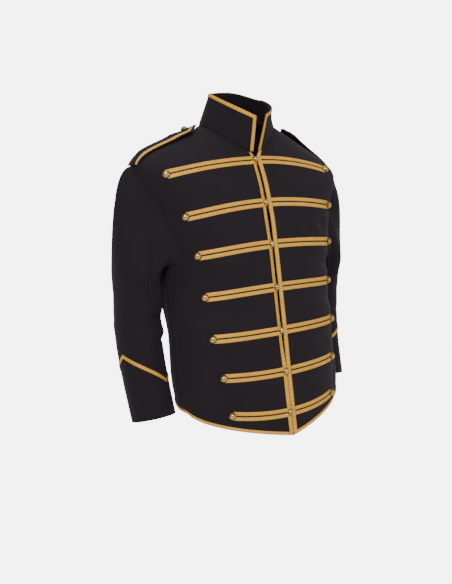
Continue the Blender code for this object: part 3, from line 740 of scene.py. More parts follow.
class Nodes:
    """A small helper that places and links shader nodes."""

    def __init__(self, tree: bpy.types.NodeTree) -> None:
        """Starts on an empty tree."""
        self.tree = tree
        tree.nodes.clear()

    def add(self, kind: str, **inputs: object) -> bpy.types.Node:
        """Adds a node.

        Args:
            kind: the node's type, with settings after a bar, such as Math|operation=MULTIPLY.
            inputs: values or sockets for its inputs, by name with _ for a blank, or i0, i1 by number.

        Returns:
            The node.
        """
        name, _, settings = kind.partition("|")
        node = self.tree.nodes.new("ShaderNode" + name)
        for setting in filter(None, settings.split(",")):
            key, value = setting.split("=")
            setattr(node, key, value)
        for key, value in inputs.items():
            socket = node.inputs[int(key[1:])] if key[1:].isdigit() else node.inputs[key.replace("_", " ")]
            if isinstance(value, bpy.types.NodeSocket):
                self.tree.links.new(value, socket)
            else:
                socket.default_value = value
        return node

    def math(self, operation: str, a: object, b: object = 0.0, c: object = 0.0) -> bpy.types.NodeSocket:
        """A Math node's result."""
        return self.add(f"Math|operation={operation}", i0=a, i1=b, i2=c).outputs[0]

    def blend(self, share: object, a: object, b: object) -> bpy.types.NodeSocket:
        """A colour between two colours."""
        mix = self.add("Mix|data_type=RGBA")
        for number, value in ((0, share), (6, a), (7, b)):
            if isinstance(value, bpy.types.NodeSocket):
                self.tree.links.new(value, mix.inputs[number])
            else:
                mix.inputs[number].default_value = value
        return mix.outputs[2]

    def group(self, tree: bpy.types.NodeTree, **inputs: object) -> bpy.types.Node:
        """Adds a group with its values.

        Args:
            tree: the group's tree.
            inputs: values or sockets, by name with _ for a blank.

        Returns:
            The group's node.
        """
        node = self.tree.nodes.new("ShaderNodeGroup")
        node.node_tree = tree
        for key, value in inputs.items():
            socket = node.inputs[key.replace("_", " ")]
            if isinstance(value, bpy.types.NodeSocket):
                self.tree.links.new(value, socket)
            else:
                socket.default_value = value
        return node


def new_group(name: str, inputs: dict[str, float], outputs: Sequence[str]) -> tuple[bpy.types.NodeTree, Nodes]:
    """Starts a shader node group.

    Args:
        name: the group's name.
        inputs: the names of its inputs with their defaults; an input named Vector is a vector.
        outputs: the names of its outputs.

    Returns:
        The tree and its node helper.
    """
    tree = bpy.data.node_groups.new(name, "ShaderNodeTree")
    for key, value in inputs.items():
        kind = "NodeSocketVector" if key == "Vector" else "NodeSocketFloat"
        socket = tree.interface.new_socket(key, in_out="INPUT", socket_type=kind)
        if key != "Vector":
            socket.default_value = value
    for key in outputs:
        tree.interface.new_socket(key, in_out="OUTPUT", socket_type="NodeSocketFloat")
    return tree, Nodes(tree)


def twill_group() -> bpy.types.NodeTree:
    """Diagonal ribs and the threads that cross them, from a piece's UV map in metres.

    Returns:
        The group, which puts out Rib from 0 to 1 and Thread from 0 to 1.
    """
    tree, nodes = new_group("twill", {"Vector": 0.0, "Pitch": 0.001, "Slant": 1.0}, ("Rib", "Thread"))
    given = tree.nodes.new("NodeGroupInput")
    place = nodes.add("SeparateXYZ", Vector=given.outputs["Vector"])
    along = nodes.math("DIVIDE", place.outputs["X"], given.outputs["Pitch"])
    across = nodes.math("DIVIDE", place.outputs["Y"], given.outputs["Pitch"])
    slanted = nodes.math("ADD", along, nodes.math("MULTIPLY", across, given.outputs["Slant"]))
    rib = nodes.math("MULTIPLY_ADD", nodes.math("SINE", nodes.math("MULTIPLY", slanted, math.tau)), 0.5, 0.5)
    crossing = nodes.math("SUBTRACT", nodes.math("MULTIPLY", across, 2.0), along)
    thread = nodes.math("MULTIPLY_ADD", nodes.math("SINE", nodes.math("MULTIPLY", crossing, math.tau)), 0.5, 0.5)
    out = tree.nodes.new("NodeGroupOutput")
    tree.links.new(rib, out.inputs["Rib"])
    tree.links.new(thread, out.inputs["Thread"])
    return tree


def mottle_group() -> bpy.types.NodeTree:
    """Broad and fine unevenness from Object coordinates.

    Returns:
        The group, which puts out Broad and Fine from 0 to 1.
    """
    tree, nodes = new_group("mottle", {"Vector": 0.0, "Broad Scale": 20.0, "Fine Scale": 900.0}, ("Broad", "Fine"))
    given = tree.nodes.new("NodeGroupInput")
    out = tree.nodes.new("NodeGroupOutput")
    for name, detail in (("Broad", 3.0), ("Fine", 2.0)):
        noise = nodes.add("TexNoise", Vector=given.outputs["Vector"], Scale=given.outputs[name + " Scale"],
                          Detail=detail, Roughness=0.6)
        tree.links.new(noise.outputs["Fac"], out.inputs[name])
    return tree


@dataclass(frozen=True)
class Wool:
    """Black wool: a close twill with a brushed nap."""

    colour: tuple[float, float, float, float] = (0.0088, 0.0060, 0.0080, 1.0)
    lighter: tuple[float, float, float, float] = (0.0165, 0.0120, 0.0150, 1.0)
    sheen_tint: tuple[float, float, float, float] = (0.62, 0.48, 0.58, 1.0)
    twill_pitch: float = 0.0011

    def material(self, twill: bpy.types.NodeTree, mottle: bpy.types.NodeTree) -> bpy.types.Material:
        """Builds the wool's material.

        Args:
            twill: the twill group.
            mottle: the mottle group.

        Returns:
            The material.
        """
        made = bpy.data.materials.new("black_wool")
        made.use_nodes = True
        nodes = Nodes(made.node_tree)
        place = nodes.add("TexCoord")
        weave = nodes.group(twill, Vector=place.outputs["UV"], Pitch=self.twill_pitch, Slant=1.0)
        nap = nodes.group(mottle, Vector=place.outputs["Object"], Broad_Scale=9.0, Fine_Scale=650.0)
        uneven = nodes.math("MULTIPLY_ADD", nap.outputs["Broad"], 0.75, nodes.math("MULTIPLY", weave.outputs["Rib"], 0.25))
        colour = nodes.blend(uneven, self.colour, self.lighter)
        fibre = nodes.math("GREATER_THAN", nap.outputs["Fine"], 0.73)
        colour = nodes.blend(nodes.math("MULTIPLY", fibre, 0.30), colour, (0.060, 0.052, 0.058, 1.0))
        height = nodes.math("MULTIPLY_ADD", weave.outputs["Rib"], 0.5, nodes.math("MULTIPLY", nap.outputs["Fine"], 0.8))
        bump = nodes.add("Bump", Strength=0.35, Distance=0.0003, Height=height)
        shader = nodes.add("BsdfPrincipled", Base_Color=colour, Roughness=0.88, Normal=bump.outputs["Normal"])
        shader.inputs["Specular IOR Level"].default_value = 0.14
        shader.inputs["Sheen Weight"].default_value = 0.08
        shader.inputs["Sheen Roughness"].default_value = 0.45
        shader.inputs["Sheen Tint"].default_value = self.sheen_tint
        out = nodes.add("OutputMaterial")
        made.node_tree.links.new(shader.outputs["BSDF"], out.inputs["Surface"])
        return made


@dataclass(frozen=True)
class GoldTape:
    """Gold tape: diagonal ribs of metal thread, darker along its sewn edges."""

    colour: tuple[float, float, float, float] = (0.95, 0.535, 0.074, 1.0)
    darker: tuple[float, float, float, float] = (0.37, 0.160, 0.018, 1.0)
    stitch: tuple[float, float, float, float] = (0.36, 0.17, 0.025, 1.0)
    rib_pitch: float = 0.0030
    streak_pitch: float = 0.0078
    stitch_pitch: float = 0.0030

    def material(self, twill: bpy.types.NodeTree, mottle: bpy.types.NodeTree) -> bpy.types.Material:
        """Builds the tape's material.

        Args:
            twill: the twill group.
            mottle: the mottle group.

        Returns:
            The material.
        """
        made = bpy.data.materials.new("gold_tape")
        made.use_nodes = True
        nodes = Nodes(made.node_tree)
        place = nodes.add("TexCoord")
        weave = nodes.group(twill, Vector=place.outputs["UV"], Pitch=self.rib_pitch, Slant=1.0)
        worn = nodes.group(mottle, Vector=place.outputs["Object"], Broad_Scale=60.0, Fine_Scale=1500.0)
        parts = nodes.add("SeparateXYZ", Vector=place.outputs["UV"])
        across = nodes.math("FRACT", nodes.math("DIVIDE", parts.outputs["Y"], TAPE_WIDTH))
        edge = nodes.math("ABSOLUTE", nodes.math("SUBTRACT", across, 0.5))
        selvedge = nodes.add("MapRange|interpolation_type=SMOOTHSTEP", Value=edge, From_Min=0.36, From_Max=0.48)
        run = nodes.math("FRACT", nodes.math("DIVIDE", parts.outputs["X"], self.stitch_pitch))
        on_line = nodes.math("COMPARE", edge, 0.40, 0.035)
        sewn = nodes.math("MULTIPLY", on_line, nodes.math("LESS_THAN", run, 0.62))
        streak = nodes.group(twill, Vector=place.outputs["UV"], Pitch=self.streak_pitch, Slant=0.9)
        shade = nodes.math("MULTIPLY_ADD", weave.outputs["Rib"], 0.28, nodes.math("MULTIPLY", worn.outputs["Broad"], 0.45))
        shade = nodes.math("MULTIPLY_ADD", streak.outputs["Rib"], 0.24, shade)
        colour = nodes.blend(shade, self.darker, self.colour)
        colour = nodes.blend(nodes.math("MULTIPLY", selvedge.outputs["Result"], 0.45), colour, self.darker)
        colour = nodes.blend(nodes.math("MULTIPLY", sewn, 0.55), colour, self.stitch)
        height = nodes.math("MULTIPLY_ADD", weave.outputs["Rib"], 1.0, nodes.math("MULTIPLY", weave.outputs["Thread"], 0.35))
        height = nodes.math("SUBTRACT", height, nodes.math("MULTIPLY", sewn, 0.8))
        bump = nodes.add("Bump", Strength=0.55, Distance=0.0004, Height=height)
        rough = nodes.math("MULTIPLY_ADD", worn.outputs["Fine"], 0.25, 0.36)
        shader = nodes.add("BsdfPrincipled", Base_Color=colour, Roughness=rough, Normal=bump.outputs["Normal"])
        shader.inputs["Metallic"].default_value = 0.30
        shader.inputs["Specular IOR Level"].default_value = 0.3
        out = nodes.add("OutputMaterial")
        made.node_tree.links.new(shader.outputs["BSDF"], out.inputs["Surface"])
        return made


@dataclass(frozen=True)
class Brass:
    """Satin brass, a little tarnished, with painted shade that darkens each button towards its rim."""

    colour: tuple[float, float, float, float] = (0.60, 0.40, 0.16, 1.0)
    # Tarnish for the broad mottling, and also the painted shade at each button's rim.
    tarnish_and_rim_shade: tuple[float, float, float, float] = (0.17, 0.095, 0.030, 1.0)

    def material(self, mottle: bpy.types.NodeTree) -> bpy.types.Material:
        """Builds the brass's material from the mottle group."""
        made = bpy.data.materials.new("satin_brass")
        made.use_nodes = True
        nodes = Nodes(made.node_tree)
        place = nodes.add("TexCoord")
        worn = nodes.group(mottle, Vector=place.outputs["Object"], Broad_Scale=180.0, Fine_Scale=2200.0)
        dull = nodes.add("MapRange", Value=worn.outputs["Broad"], From_Min=0.42, From_Max=0.70)
        colour = nodes.blend(nodes.math("MULTIPLY", dull.outputs["Result"], 0.6), self.colour, self.tarnish_and_rim_shade)
        # Painted shade: the colour turns dark towards each button's rim, where its reflection falls off.
        parts = nodes.add("SeparateXYZ", Vector=place.outputs["UV"])
        rim_shade = nodes.add("MapRange", Value=parts.outputs["X"], From_Min=0.62, From_Max=0.96)
        colour = nodes.blend(nodes.math("MULTIPLY", rim_shade.outputs["Result"], 0.9), colour, self.tarnish_and_rim_shade)
        rough = nodes.math("MULTIPLY_ADD", worn.outputs["Broad"], 0.20, 0.14)
        bump = nodes.add("Bump", Strength=0.12, Distance=0.0002, Height=worn.outputs["Fine"])
        shader = nodes.add("BsdfPrincipled", Base_Color=colour, Roughness=rough, Normal=bump.outputs["Normal"])
        shader.inputs["Metallic"].default_value = 1.0
        out = nodes.add("OutputMaterial")
        made.node_tree.links.new(shader.outputs["BSDF"], out.inputs["Surface"])
        return made


@dataclass(frozen=True)
class Finishes:
    """The three finishes as materials."""

    wool: bpy.types.Material
    gold: bpy.types.Material
    brass: bpy.types.Material

    @classmethod
    def build(cls) -> "Finishes":
        """Builds the groups once and the materials that use them."""
        twill, mottle = twill_group(), mottle_group()
        return cls(Wool().material(twill, mottle), GoldTape().material(twill, mottle), Brass().material(mottle))


def declare(piece: bpy.types.Object, slot: Slot, *nodes: str) -> bpy.types.Object:
    """Makes a piece ride on the jacket in place of its CAD nodes.

    Args:
        piece: the piece.
        slot: not used.
        nodes: the CAD nodes it replaces.

    Returns:
        The piece.
    """
    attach(piece, ROOT)
    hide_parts(*nodes)
    log.info("%s: %d faces", piece.name, len(piece.data.polygons))
    return piece


def lengths(line: Line) -> list[float]:
    """The distance along a line at each of its points."""
    run = [0.0]
    for before, here in zip(line, line[1:]):
        run.append(run[-1] + (here - before).length)
    return run


@dataclass
class Sheet:
    """A cloth piece on a grid of points, with its UV map in metres and a wall of its own thickness."""

    name: str
    points: list[Line]
    thickness: float
    finish: bpy.types.Material
    across: Optional[Sequence[float]] = None
    closed: bool = False
    keep: Optional[Callable[[int, int], bool]] = None
    rounded: float = 0.0

    def build(self) -> bpy.types.Object:
        """Builds the piece.

        Returns:
            The finished object, which sits at the origin.
        """
        rows, columns = len(self.points), len(self.points[0])
        mesh = bmesh.new()
        bmesh.ops.create_grid(mesh, x_segments=columns - 1, y_segments=rows - 1, size=1.0)
        cell = {}
        for vertex in mesh.verts:
            column = round((vertex.co.x + 1) / 2 * (columns - 1))
            row = round((vertex.co.y + 1) / 2 * (rows - 1))
            cell[vertex] = (row, column)
        if self.keep:
            gone = [face for face in mesh.faces if not self.keep(*self.corner(face, cell))]
            bmesh.ops.delete(mesh, geom=gone, context="FACES")
        runs = [lengths(line) for line in self.points]
        rises = self.across or lengths([line[columns // 2] for line in self.points])
        layer = mesh.loops.layers.uv.new("cloth")
        for face in mesh.faces:
            for loop in face.loops:
                row, column = cell[loop.vert]
                loop[layer].uv = (runs[row][column], rises[row])
        for vertex, (row, column) in cell.items():
            if vertex.is_valid:
                vertex.co = self.points[row][column]
        if self.closed:
            bmesh.ops.remove_doubles(mesh, verts=mesh.verts, dist=1e-6)
        data = bpy.data.meshes.new(self.name)
        mesh.to_mesh(data)
        mesh.free()
        data.shade_smooth()
        data.materials.append(self.finish)
        made = bpy.data.objects.new(self.name, data)
        bpy.context.scene.collection.objects.link(made)
        wall = made.modifiers.new("wall", "SOLIDIFY")
        wall.thickness = self.thickness
        wall.offset = 0.0
        if self.rounded:
            edge = made.modifiers.new("edge", "BEVEL")
            edge.width = self.rounded
            edge.segments = 2
            edge.limit_method = "ANGLE"
            edge.angle_limit = math.radians(60)
        return made

    @staticmethod
    def corner(face: bmesh.types.BMFace, cell: dict) -> tuple[int, int]:
        """The row and column of a grid face's first corner."""
        return min(cell[vertex][0] for vertex in face.verts), min(cell[vertex][1] for vertex in face.verts)


def strip(name: str, edges: Callable[[float, float], Line], width: float, finish: bpy.types.Material,
          closed: bool = False) -> bpy.types.Object:
    """A single tape, crowned across and sewn down at its edges.

    Args:
        name: the piece's name.
        edges: the line at a place across the tape from 0 to 1 and a distance below its middle.
        width: the tape's width.
        finish: its material.
        closed: whether its two ends meet.

    Returns:
        The tape.
    """
    lines = [edges(share, drop) for share, drop in TAPE_SECTION]
    across = [share * TAPE_WIDTH for share, _ in TAPE_SECTION]
    return Sheet(name, lines, TAPE_THICK * min(1.0, width / TAPE_WIDTH), finish, across, closed).build()


def mirrored(line: Callable[[Side], Line]) -> Line:
    """A line of points given for both sides, joined at the middle of the back."""
    return line(Side.RIGHT) + line(Side.LEFT)[-2::-1]


def seam_dip(distance: float) -> float:
    """How far cloth dips towards a seam at a distance from it."""
    return -SEAM_DIP * math.exp(-((distance / SEAM_REACH) ** 2))


@dataclass
class Panels:
    """The two fronts and the back, whose edges meet at the side and shoulder seams."""

    body: BodyShape
    collar: CollarShape
    finishes: Finishes
    low_rows: int = 84
    hole_rows: int = 36
    high_rows: int = 24
    columns: int = 46
    # Cut sizes of a front and of the back: width, length and area.
    front_cut: tuple[float, float, float] = (0.30, 0.60, 0.13)
    back_cut: tuple[float, float, float] = (0.50, 0.57, 0.26)

    def rows(self) -> list[tuple[float, float, float]]:
        """The section numbers of the panels' rows with the turns of the front and back armhole edges."""
        armpit = ARMHOLE[0].at
        rows = [(armpit * i / self.low_rows, 90.0, 90.0) for i in range(self.low_rows)]
        for i in range(self.hole_rows + 1):
            front, at = self.body.armhole(i / self.hole_rows)
            back, _ = self.body.armhole(i / self.hole_rows, back=True)
            rows.append((at, front, back))
        rise = (NECK_ROW - TIP_ROW) / self.high_rows
        return rows + [(TIP_ROW + rise * i, 90.0, 90.0) for i in range(1, self.high_rows + 1)]

    def row_points(self, side: Side, at: float, start: float, seam: float, count: int) -> Line:
        """A row of points from start to the seam, closer together at the seam, where the cloth dips.

        Args:
            side: the side of the wearer.
            at: section number.
            start: the turn where the row starts.
            seam: the turn of the seam.
            count: how many steps of equal length it has before the seam.

        Returns:
            The points.
        """
        speed = self.body.spot(side, seam, at).along_turn.length
        way = 1.0 if seam > start else -1.0
        near = [distance / speed for distance in (0.0075, 0.005, 0.003, 0.0015, 0.0)]
        last = seam - way * (near[0] + 0.003 / speed)
        turns = [start + (last - start) * i / count for i in range(count + 1)]
        turns += [seam - way * step for step in near]
        return [self.body.point(side, turn, at, seam_dip(abs(seam - turn) * speed)) for turn in turns]

    def neck_rows(self, turns: Callable[[Side], list[float]], sides: Sequence[Side]) -> list[Line]:
        """The seam allowance that stands up inside the collar.

        Args:
            turns: the turns of a side's columns, in order.
            sides: the sides, in order.

        Returns:
            Its rows of points.
        """
        inside = -(COLLAR_CLOTH + CLOTH) / 2 - 0.0002
        return [[self.collar.point(side, turn, at, inside) for side in sides for turn in turns(side)]
                for at in (0.03, 0.08, 0.13)]

    def front(self, side: Side) -> bpy.types.Object:
        """Builds one front."""
        points = [self.row_points(side, at, self.body.front_edge(side, at), hole, self.columns)
                  for at, hole, _ in self.rows()]
        count = len(points[0])
        first = self.body.front_edge(side, NECK_ROW)
        turns = [first + (90.0 - first) * i / (count - 1) for i in range(count)]
        points += self.neck_rows(lambda _: turns, [side])
        piece = Sheet(f"front_{side.word}", points, CLOTH, self.finishes.wool).build()
        return declare(piece, Slot.WOOL, f"front_{side.word}")

    def back(self) -> bpy.types.Object:
        """Builds the back, in one piece."""
        points = []
        for at, _, hole in self.rows():
            right = self.row_points(Side.RIGHT, at, 180.0, hole, self.columns)
            left = self.row_points(Side.LEFT, at, 180.0, hole, self.columns)
            points.append(right[::-1] + left[1:])
        count = len(points[0]) // 2
        right = [90.0 + 90.0 * i / count for i in range(count + 1)]
        points += [[self.collar.point(Side.RIGHT, turn, at, -0.0026) for turn in right]
                   + [self.collar.point(Side.LEFT, turn, at, -0.0026) for turn in right[-2::-1]]
                   for at in (0.03, 0.08, 0.13)]
        piece = Sheet("back", points, CLOTH, self.finishes.wool).build()
        return declare(piece, Slot.WOOL, "back")


@dataclass
class Sleeve:
    """One sleeve, in a top and an under piece, with its pointed cuff tape."""

    shape: SleeveShape
    finishes: Finishes
    head_rows: int = 30
    arm_rows: int = 84
    step: float = 5.0
    top_cut: tuple[float, float, float] = (0.24, 0.52, 0.089)
    under_cut: tuple[float, float, float] = (0.11, 0.33, 0.033)

    def rows(self) -> list[float]:
        """The section numbers of the sleeve's rows, closer together at the sleeve head."""
        head = [(i / self.head_rows) ** 1.5 for i in range(self.head_rows)]
        return head + [1.0 + (len(ARM) - 1) * i / self.arm_rows for i in range(self.arm_rows + 1)]

    def piece(self, name: str, start: float, end: float) -> bpy.types.Object:
        """Builds a piece of the sleeve from seam to seam.

        Args:
            name: the node's name.
            start: the turn of its first seam.
            end: the turn of its last seam.

        Returns:
            The piece.
        """
        count = round((end - start) / self.step)
        near = (0.8, 2.0, 3.4)
        turns = [start + (end - start) * i / count for i in range(count + 1)]
        turns = turns[:1] + [start + step for step in near] + turns[1:-1] + [end - step for step in near[::-1]] + turns[-1:]
        points = []
        starts = {turn: self.shape.smooth(turn, 0.0) for turn in turns}
        for at in self.rows():
            line = []
            speed = (self.shape.smooth(start + 1.0, at) - self.shape.smooth(start, at)).length
            for turn in turns:
                seam = min(abs(turn - start), abs(end - turn)) * speed
                head = (self.shape.smooth(turn, at) - starts[turn]).length if at < 0.3 else 1.0
                line.append(self.shape.point(turn, at, min(seam_dip(seam), seam_dip(head))))
            points.append(line)
        piece = Sheet(name, points, CLOTH, self.finishes.wool).build()
        return declare(piece, Slot.WOOL, name)

    def tape(self) -> bpy.types.Object:
        """Builds the pointed tape round the cuff."""
        shape = self.shape
        turns = sorted({i * 2.5 for i in range(144)} | {CUFF_TURN[shape.side] % 360.0})
        columns = []
        for turn in turns + [360.0]:
            middle = shape.cuff_distance(turn)
            distance, at = 0.0, float(len(ARM))
            before = shape.point(turn, at)
            marks = []
            for share, drop in TAPE_SECTION:
                target = middle + (share - 0.5) * TAPE_WIDTH * 1.12
                while distance < target:
                    at -= 0.004
                    here = shape.point(turn, at)
                    distance += (here - before).length
                    before = here
                marks.append(shape.point(turn, at, TAPE_LIFT - drop))
            columns.append(marks)
        columns[-1] = [point.copy() for point in columns[0]]
        word = f"cuff_tape_{shape.side.word}"
        lines = [[column[i] for column in columns] for i in range(len(TAPE_SECTION))]
        across = [share * TAPE_WIDTH for share, _ in TAPE_SECTION]
        piece = Sheet(word, lines, TAPE_THICK, self.finishes.gold, across, closed=True).build()
        return declare(piece, Slot.GOLD, word)

    def build(self) -> None:
        """Builds the sleeve."""
        word = self.shape.side.word
        tape = self.tape()
        top = self.piece(f"sleeve_top_{word}", -SLEEVE_SEAM, SLEEVE_SEAM)
        under = self.piece(f"sleeve_under_{word}", SLEEVE_SEAM, 360.0 - SLEEVE_SEAM)


@dataclass
class Collar:
    """The stand collar with tape up its ends and round its top."""

    shape: CollarShape
    finishes: Finishes
    rows: int = 14
    steps: int = 64
    cut: tuple[float, float, float] = (0.43, 0.10, 0.0245)

    def turns(self, side: Side, at: float) -> list[float]:
        """The turns of the columns from the collar's end to the middle of the back."""
        start = self.shape.start(side, at)
        return [start + (180.0 - start) * i / self.steps for i in range(self.steps + 1)]

    def stand(self) -> bpy.types.Object:
        """Builds the collar itself."""
        points = []
        for i in range(self.rows + 1):
            at = i / self.rows
            lift = seam_dip(at * COLLAR_HEIGHT)
            points.append(mirrored(lambda side: [self.shape.point(side, turn, at, lift) for turn in self.turns(side, at)]))
        piece = Sheet("collar", points, COLLAR_CLOTH, self.finishes.wool, rounded=0.0007).build()
        return declare(piece, Slot.WOOL, "collar")

    def tape(self) -> bpy.types.Object:
        """Builds the collar's tape."""
        base = COLLAR_CLOTH / 2 + SEWN_ON + TAPE_THICK / 2

        def edge(share: float, drop: float) -> Line:
            inset = 0.0002 + (TAPE_WIDTH - 0.0002) * share
            top = 1 - inset / COLLAR_HEIGHT
            turn_in = math.degrees(inset / 0.0665)
            rising = [0.004 + (top - 0.004) * i / 24 for i in range(25)]

            def half(side: Side) -> Line:
                places = [(self.shape.start(side, at) + turn_in, at) for at in rising]
                first = places[-1][0]
                places += [(first + (180.0 - first) * i / self.steps, top) for i in range(1, self.steps + 1)]
                return [self.shape.point(side, turn, at, base - drop) for turn, at in places]

            return mirrored(half)

        piece = strip("collar_tape", edge, TAPE_WIDTH, self.finishes.gold)
        return declare(piece, Slot.GOLD, "collar_tape")

    def build(self) -> None:
        """Builds the collar and its tape."""
        stand, tape = self.stand(), self.tape()


@dataclass
class FrontTapes:
    """The rows of doubled tape, the front edge tapes and the hem tape."""

    body: BodyShape
    finishes: Finishes
    steps: int = 48
    edge_steps: int = 150
    hem_steps: int = 110

    def reaches(self, side: Side, row: Row) -> list[float]:
        """Distances out along a row. It crosses the right edge tape and stops at the left one."""
        opening = line_at(FRONT_OPENING[side], 1.0 + 6.0 * (0.56 + row.z) / 0.5)
        edge = opening + EDGE_TAPE_WIDTH
        start = opening + 0.0005 if side == Side.RIGHT else edge + 0.0003
        near = [start + (edge + 0.006 - start) * i / 9 for i in range(9)]
        return near + [near[-1] + (row.out(side) - near[-1]) * i / self.steps for i in range(1, self.steps + 1)]

    def row_places(self, side: Side, row: Row) -> list[Place]:
        """Places along a row's middle line, from the front edge out to its end."""
        places, guess = [], (5.0, 1.0 + 6.0 * (0.56 + row.z) / 0.5)
        for x in self.reaches(side, row):
            guess = self.body.find(side, x, row.height(side, x), guess)
            places.append(guess)
        return places

    @staticmethod
    def over_edge(side: Side, x: float) -> float:
        """How much higher a row lies where it crosses the right edge tape."""
        share = min(max((EDGE_TAPE_WIDTH + 0.0050 - x) / 0.0030, 0.0), 1.0) if side == Side.RIGHT else 0.0
        return (TAPE_THICK + 0.0004) * share * share * (3.0 - 2.0 * share)

    def row_tape(self, side: Side, number: int, row: Row) -> bpy.types.Object:
        """Builds a row of doubled tape, whose bands are joined at the outer end under the button.

        Args:
            side: the side of the wearer.
            number: the row's number from the top.
            row: the row.

        Returns:
            The row.
        """
        body, places, reaches = self.body, self.row_places(side, row), self.reaches(side, row)
        section = [(-ROW_TAPE_SPACE / 2 - TAPE_WIDTH * (1 - share), drop) for share, drop in TAPE_SECTION]
        section += [(ROW_TAPE_SPACE / 2 + TAPE_WIDTH * share, drop) for share, drop in TAPE_SECTION]
        points = [[] for _ in section]
        for i, place in enumerate(places):
            before, after = places[max(i - 1, 0)], places[min(i + 1, len(places) - 1)]
            along = (body.point(side, *after) - body.point(side, *before)).normalized()
            up = body.spot(side, *place).normal.cross(along).normalized()
            up = up if up.z > 0 else -up
            lift = TAPE_LIFT + self.over_edge(side, reaches[i])
            for line, (away, drop) in zip(points, section):
                line.append(body.point(side, *body.walk(side, place, up * away), lift - drop))
        across = [share * TAPE_WIDTH for share, _ in TAPE_SECTION]
        across += [TAPE_WIDTH + share * TAPE_WIDTH for share, _ in TAPE_SECTION]
        split = len(TAPE_SECTION) - 1
        name = f"row_{number}_{side.word}"
        piece = Sheet(name, points, TAPE_THICK, self.finishes.gold, across,
                      keep=lambda r, c: r != split or c == len(places) - 2).build()
        return declare(piece, Slot.GOLD, name)

    def edge_tape(self, side: Side) -> bpy.types.Object:
        """Builds the tape down a front edge."""
        def edge(share: float, drop: float) -> Line:
            line = []
            for i in range(self.edge_steps + 1):
                at = 0.006 + (NECK_ROW - 0.02) * i / self.edge_steps
                start = self.body.front_edge(side, at)
                speed = self.body.spot(side, start + 2.0, at).along_turn.length
                inset = 0.0002 + (EDGE_TAPE_WIDTH - 0.0002) * share
                line.append(self.body.point(side, start + inset / speed, at, TAPE_LIFT + 0.0002 - drop))
            return line

        name = f"edge_tape_{side.word}"
        return declare(strip(name, edge, EDGE_TAPE_WIDTH, self.finishes.gold), Slot.GOLD, name)

    def hem_tape(self) -> bpy.types.Object:
        """Builds the tape round the hem."""
        start = self.body.front_edge(Side.RIGHT, 0.0) + 3.1

        def edge(share: float, drop: float) -> Line:
            def half(side: Side) -> Line:
                line = []
                for i in range(self.hem_steps + 1):
                    turn = start + (180.0 - start) * i / self.hem_steps
                    speed = self.body.spot(side, turn, 0.05).along_at.length
                    inset = 0.0003 + (TAPE_WIDTH - 0.0003) * share
                    line.append(self.body.point(side, turn, inset / speed, TAPE_LIFT - drop))
                return line

            return mirrored(half)

        return declare(strip("hem_tape", edge, TAPE_WIDTH, self.finishes.gold), Slot.GOLD, "hem_tape")


@dataclass
class Buttons:
    """Domed brass buttons, turned from one profile."""

    body: BodyShape
    finishes: Finishes
    steps: int = 36
    # Radius and height above the back, as shares of the button's radius.
    profile: tuple[Place, ...] = ((0.0, 0.0), (0.74, 0.0), (0.95, 0.05), (1.0, 0.13), (1.0, 0.20), (0.955, 0.27),
                                  (0.90, 0.29), (0.87, 0.33), (0.80, 0.50), (0.66, 0.68), (0.46, 0.82), (0.24, 0.89),
                                  (0.0, 0.91))

    def turned(self, name: str, radius: float, point: Vector, normal: Vector) -> bpy.types.Object:
        """Builds one button.

        Args:
            name: the node's name.
            radius: the button's radius.
            point: where its back stands.
            normal: the way it faces.

        Returns:
            The button.
        """
        mesh = bmesh.new()
        line = [mesh.verts.new((out * radius, 0.0, height * radius)) for out, height in self.profile]
        for a, b in zip(line, line[1:]):
            mesh.edges.new((a, b))
        bmesh.ops.spin(mesh, geom=mesh.verts[:] + mesh.edges[:], cent=(0, 0, 0), axis=(0, 0, 1), dvec=(0, 0, 0),
                       angle=math.tau, steps=self.steps, use_merge=True)
        bmesh.ops.remove_doubles(mesh, verts=mesh.verts, dist=1e-6)
        bmesh.ops.recalc_face_normals(mesh, faces=mesh.faces)
        layer = mesh.loops.layers.uv.new("turned")
        for face in mesh.faces:
            for loop in face.loops:
                loop[layer].uv = (math.hypot(loop.vert.co.x, loop.vert.co.y) / radius, loop.vert.co.z / radius)
        bmesh.ops.transform(mesh, matrix=Matrix.Translation(point) @ normal.to_track_quat("Z", "Y").to_matrix().to_4x4(),
                            verts=mesh.verts)
        data = bpy.data.meshes.new(name)
        mesh.to_mesh(data)
        mesh.free()
        data.shade_smooth()
        data.materials.append(self.finishes.brass)
        made = bpy.data.objects.new(name, data)
        bpy.context.scene.collection.objects.link(made)
        return declare(made, Slot.BRASS, name)

    def row(self, number: int, row: Row) -> None:
        """Builds a row's three buttons."""
        on_tape = CLOTH / 2 + 2 * SEWN_ON + TAPE_THICK
        spots = [("middle", Side.RIGHT, 0.0042, MIDDLE_BUTTON)]
        spots += [(side.word, side, row.out(side) + 0.0015, END_BUTTON) for side in Side]
        for word, side, x, radius in spots:
            guess = (x * 300.0, 1.0 + 6.0 * (0.56 + row.z) / 0.5)
            place = self.body.find(side, x, row.height(side, x), guess)
            spot = self.body.spot(side, *place)
            lift = on_tape + (TAPE_THICK + 0.0004 if word == "middle" else 0.0)
            self.turned(f"button_{number}_{word}", radius, spot.point + spot.normal * lift, spot.normal)


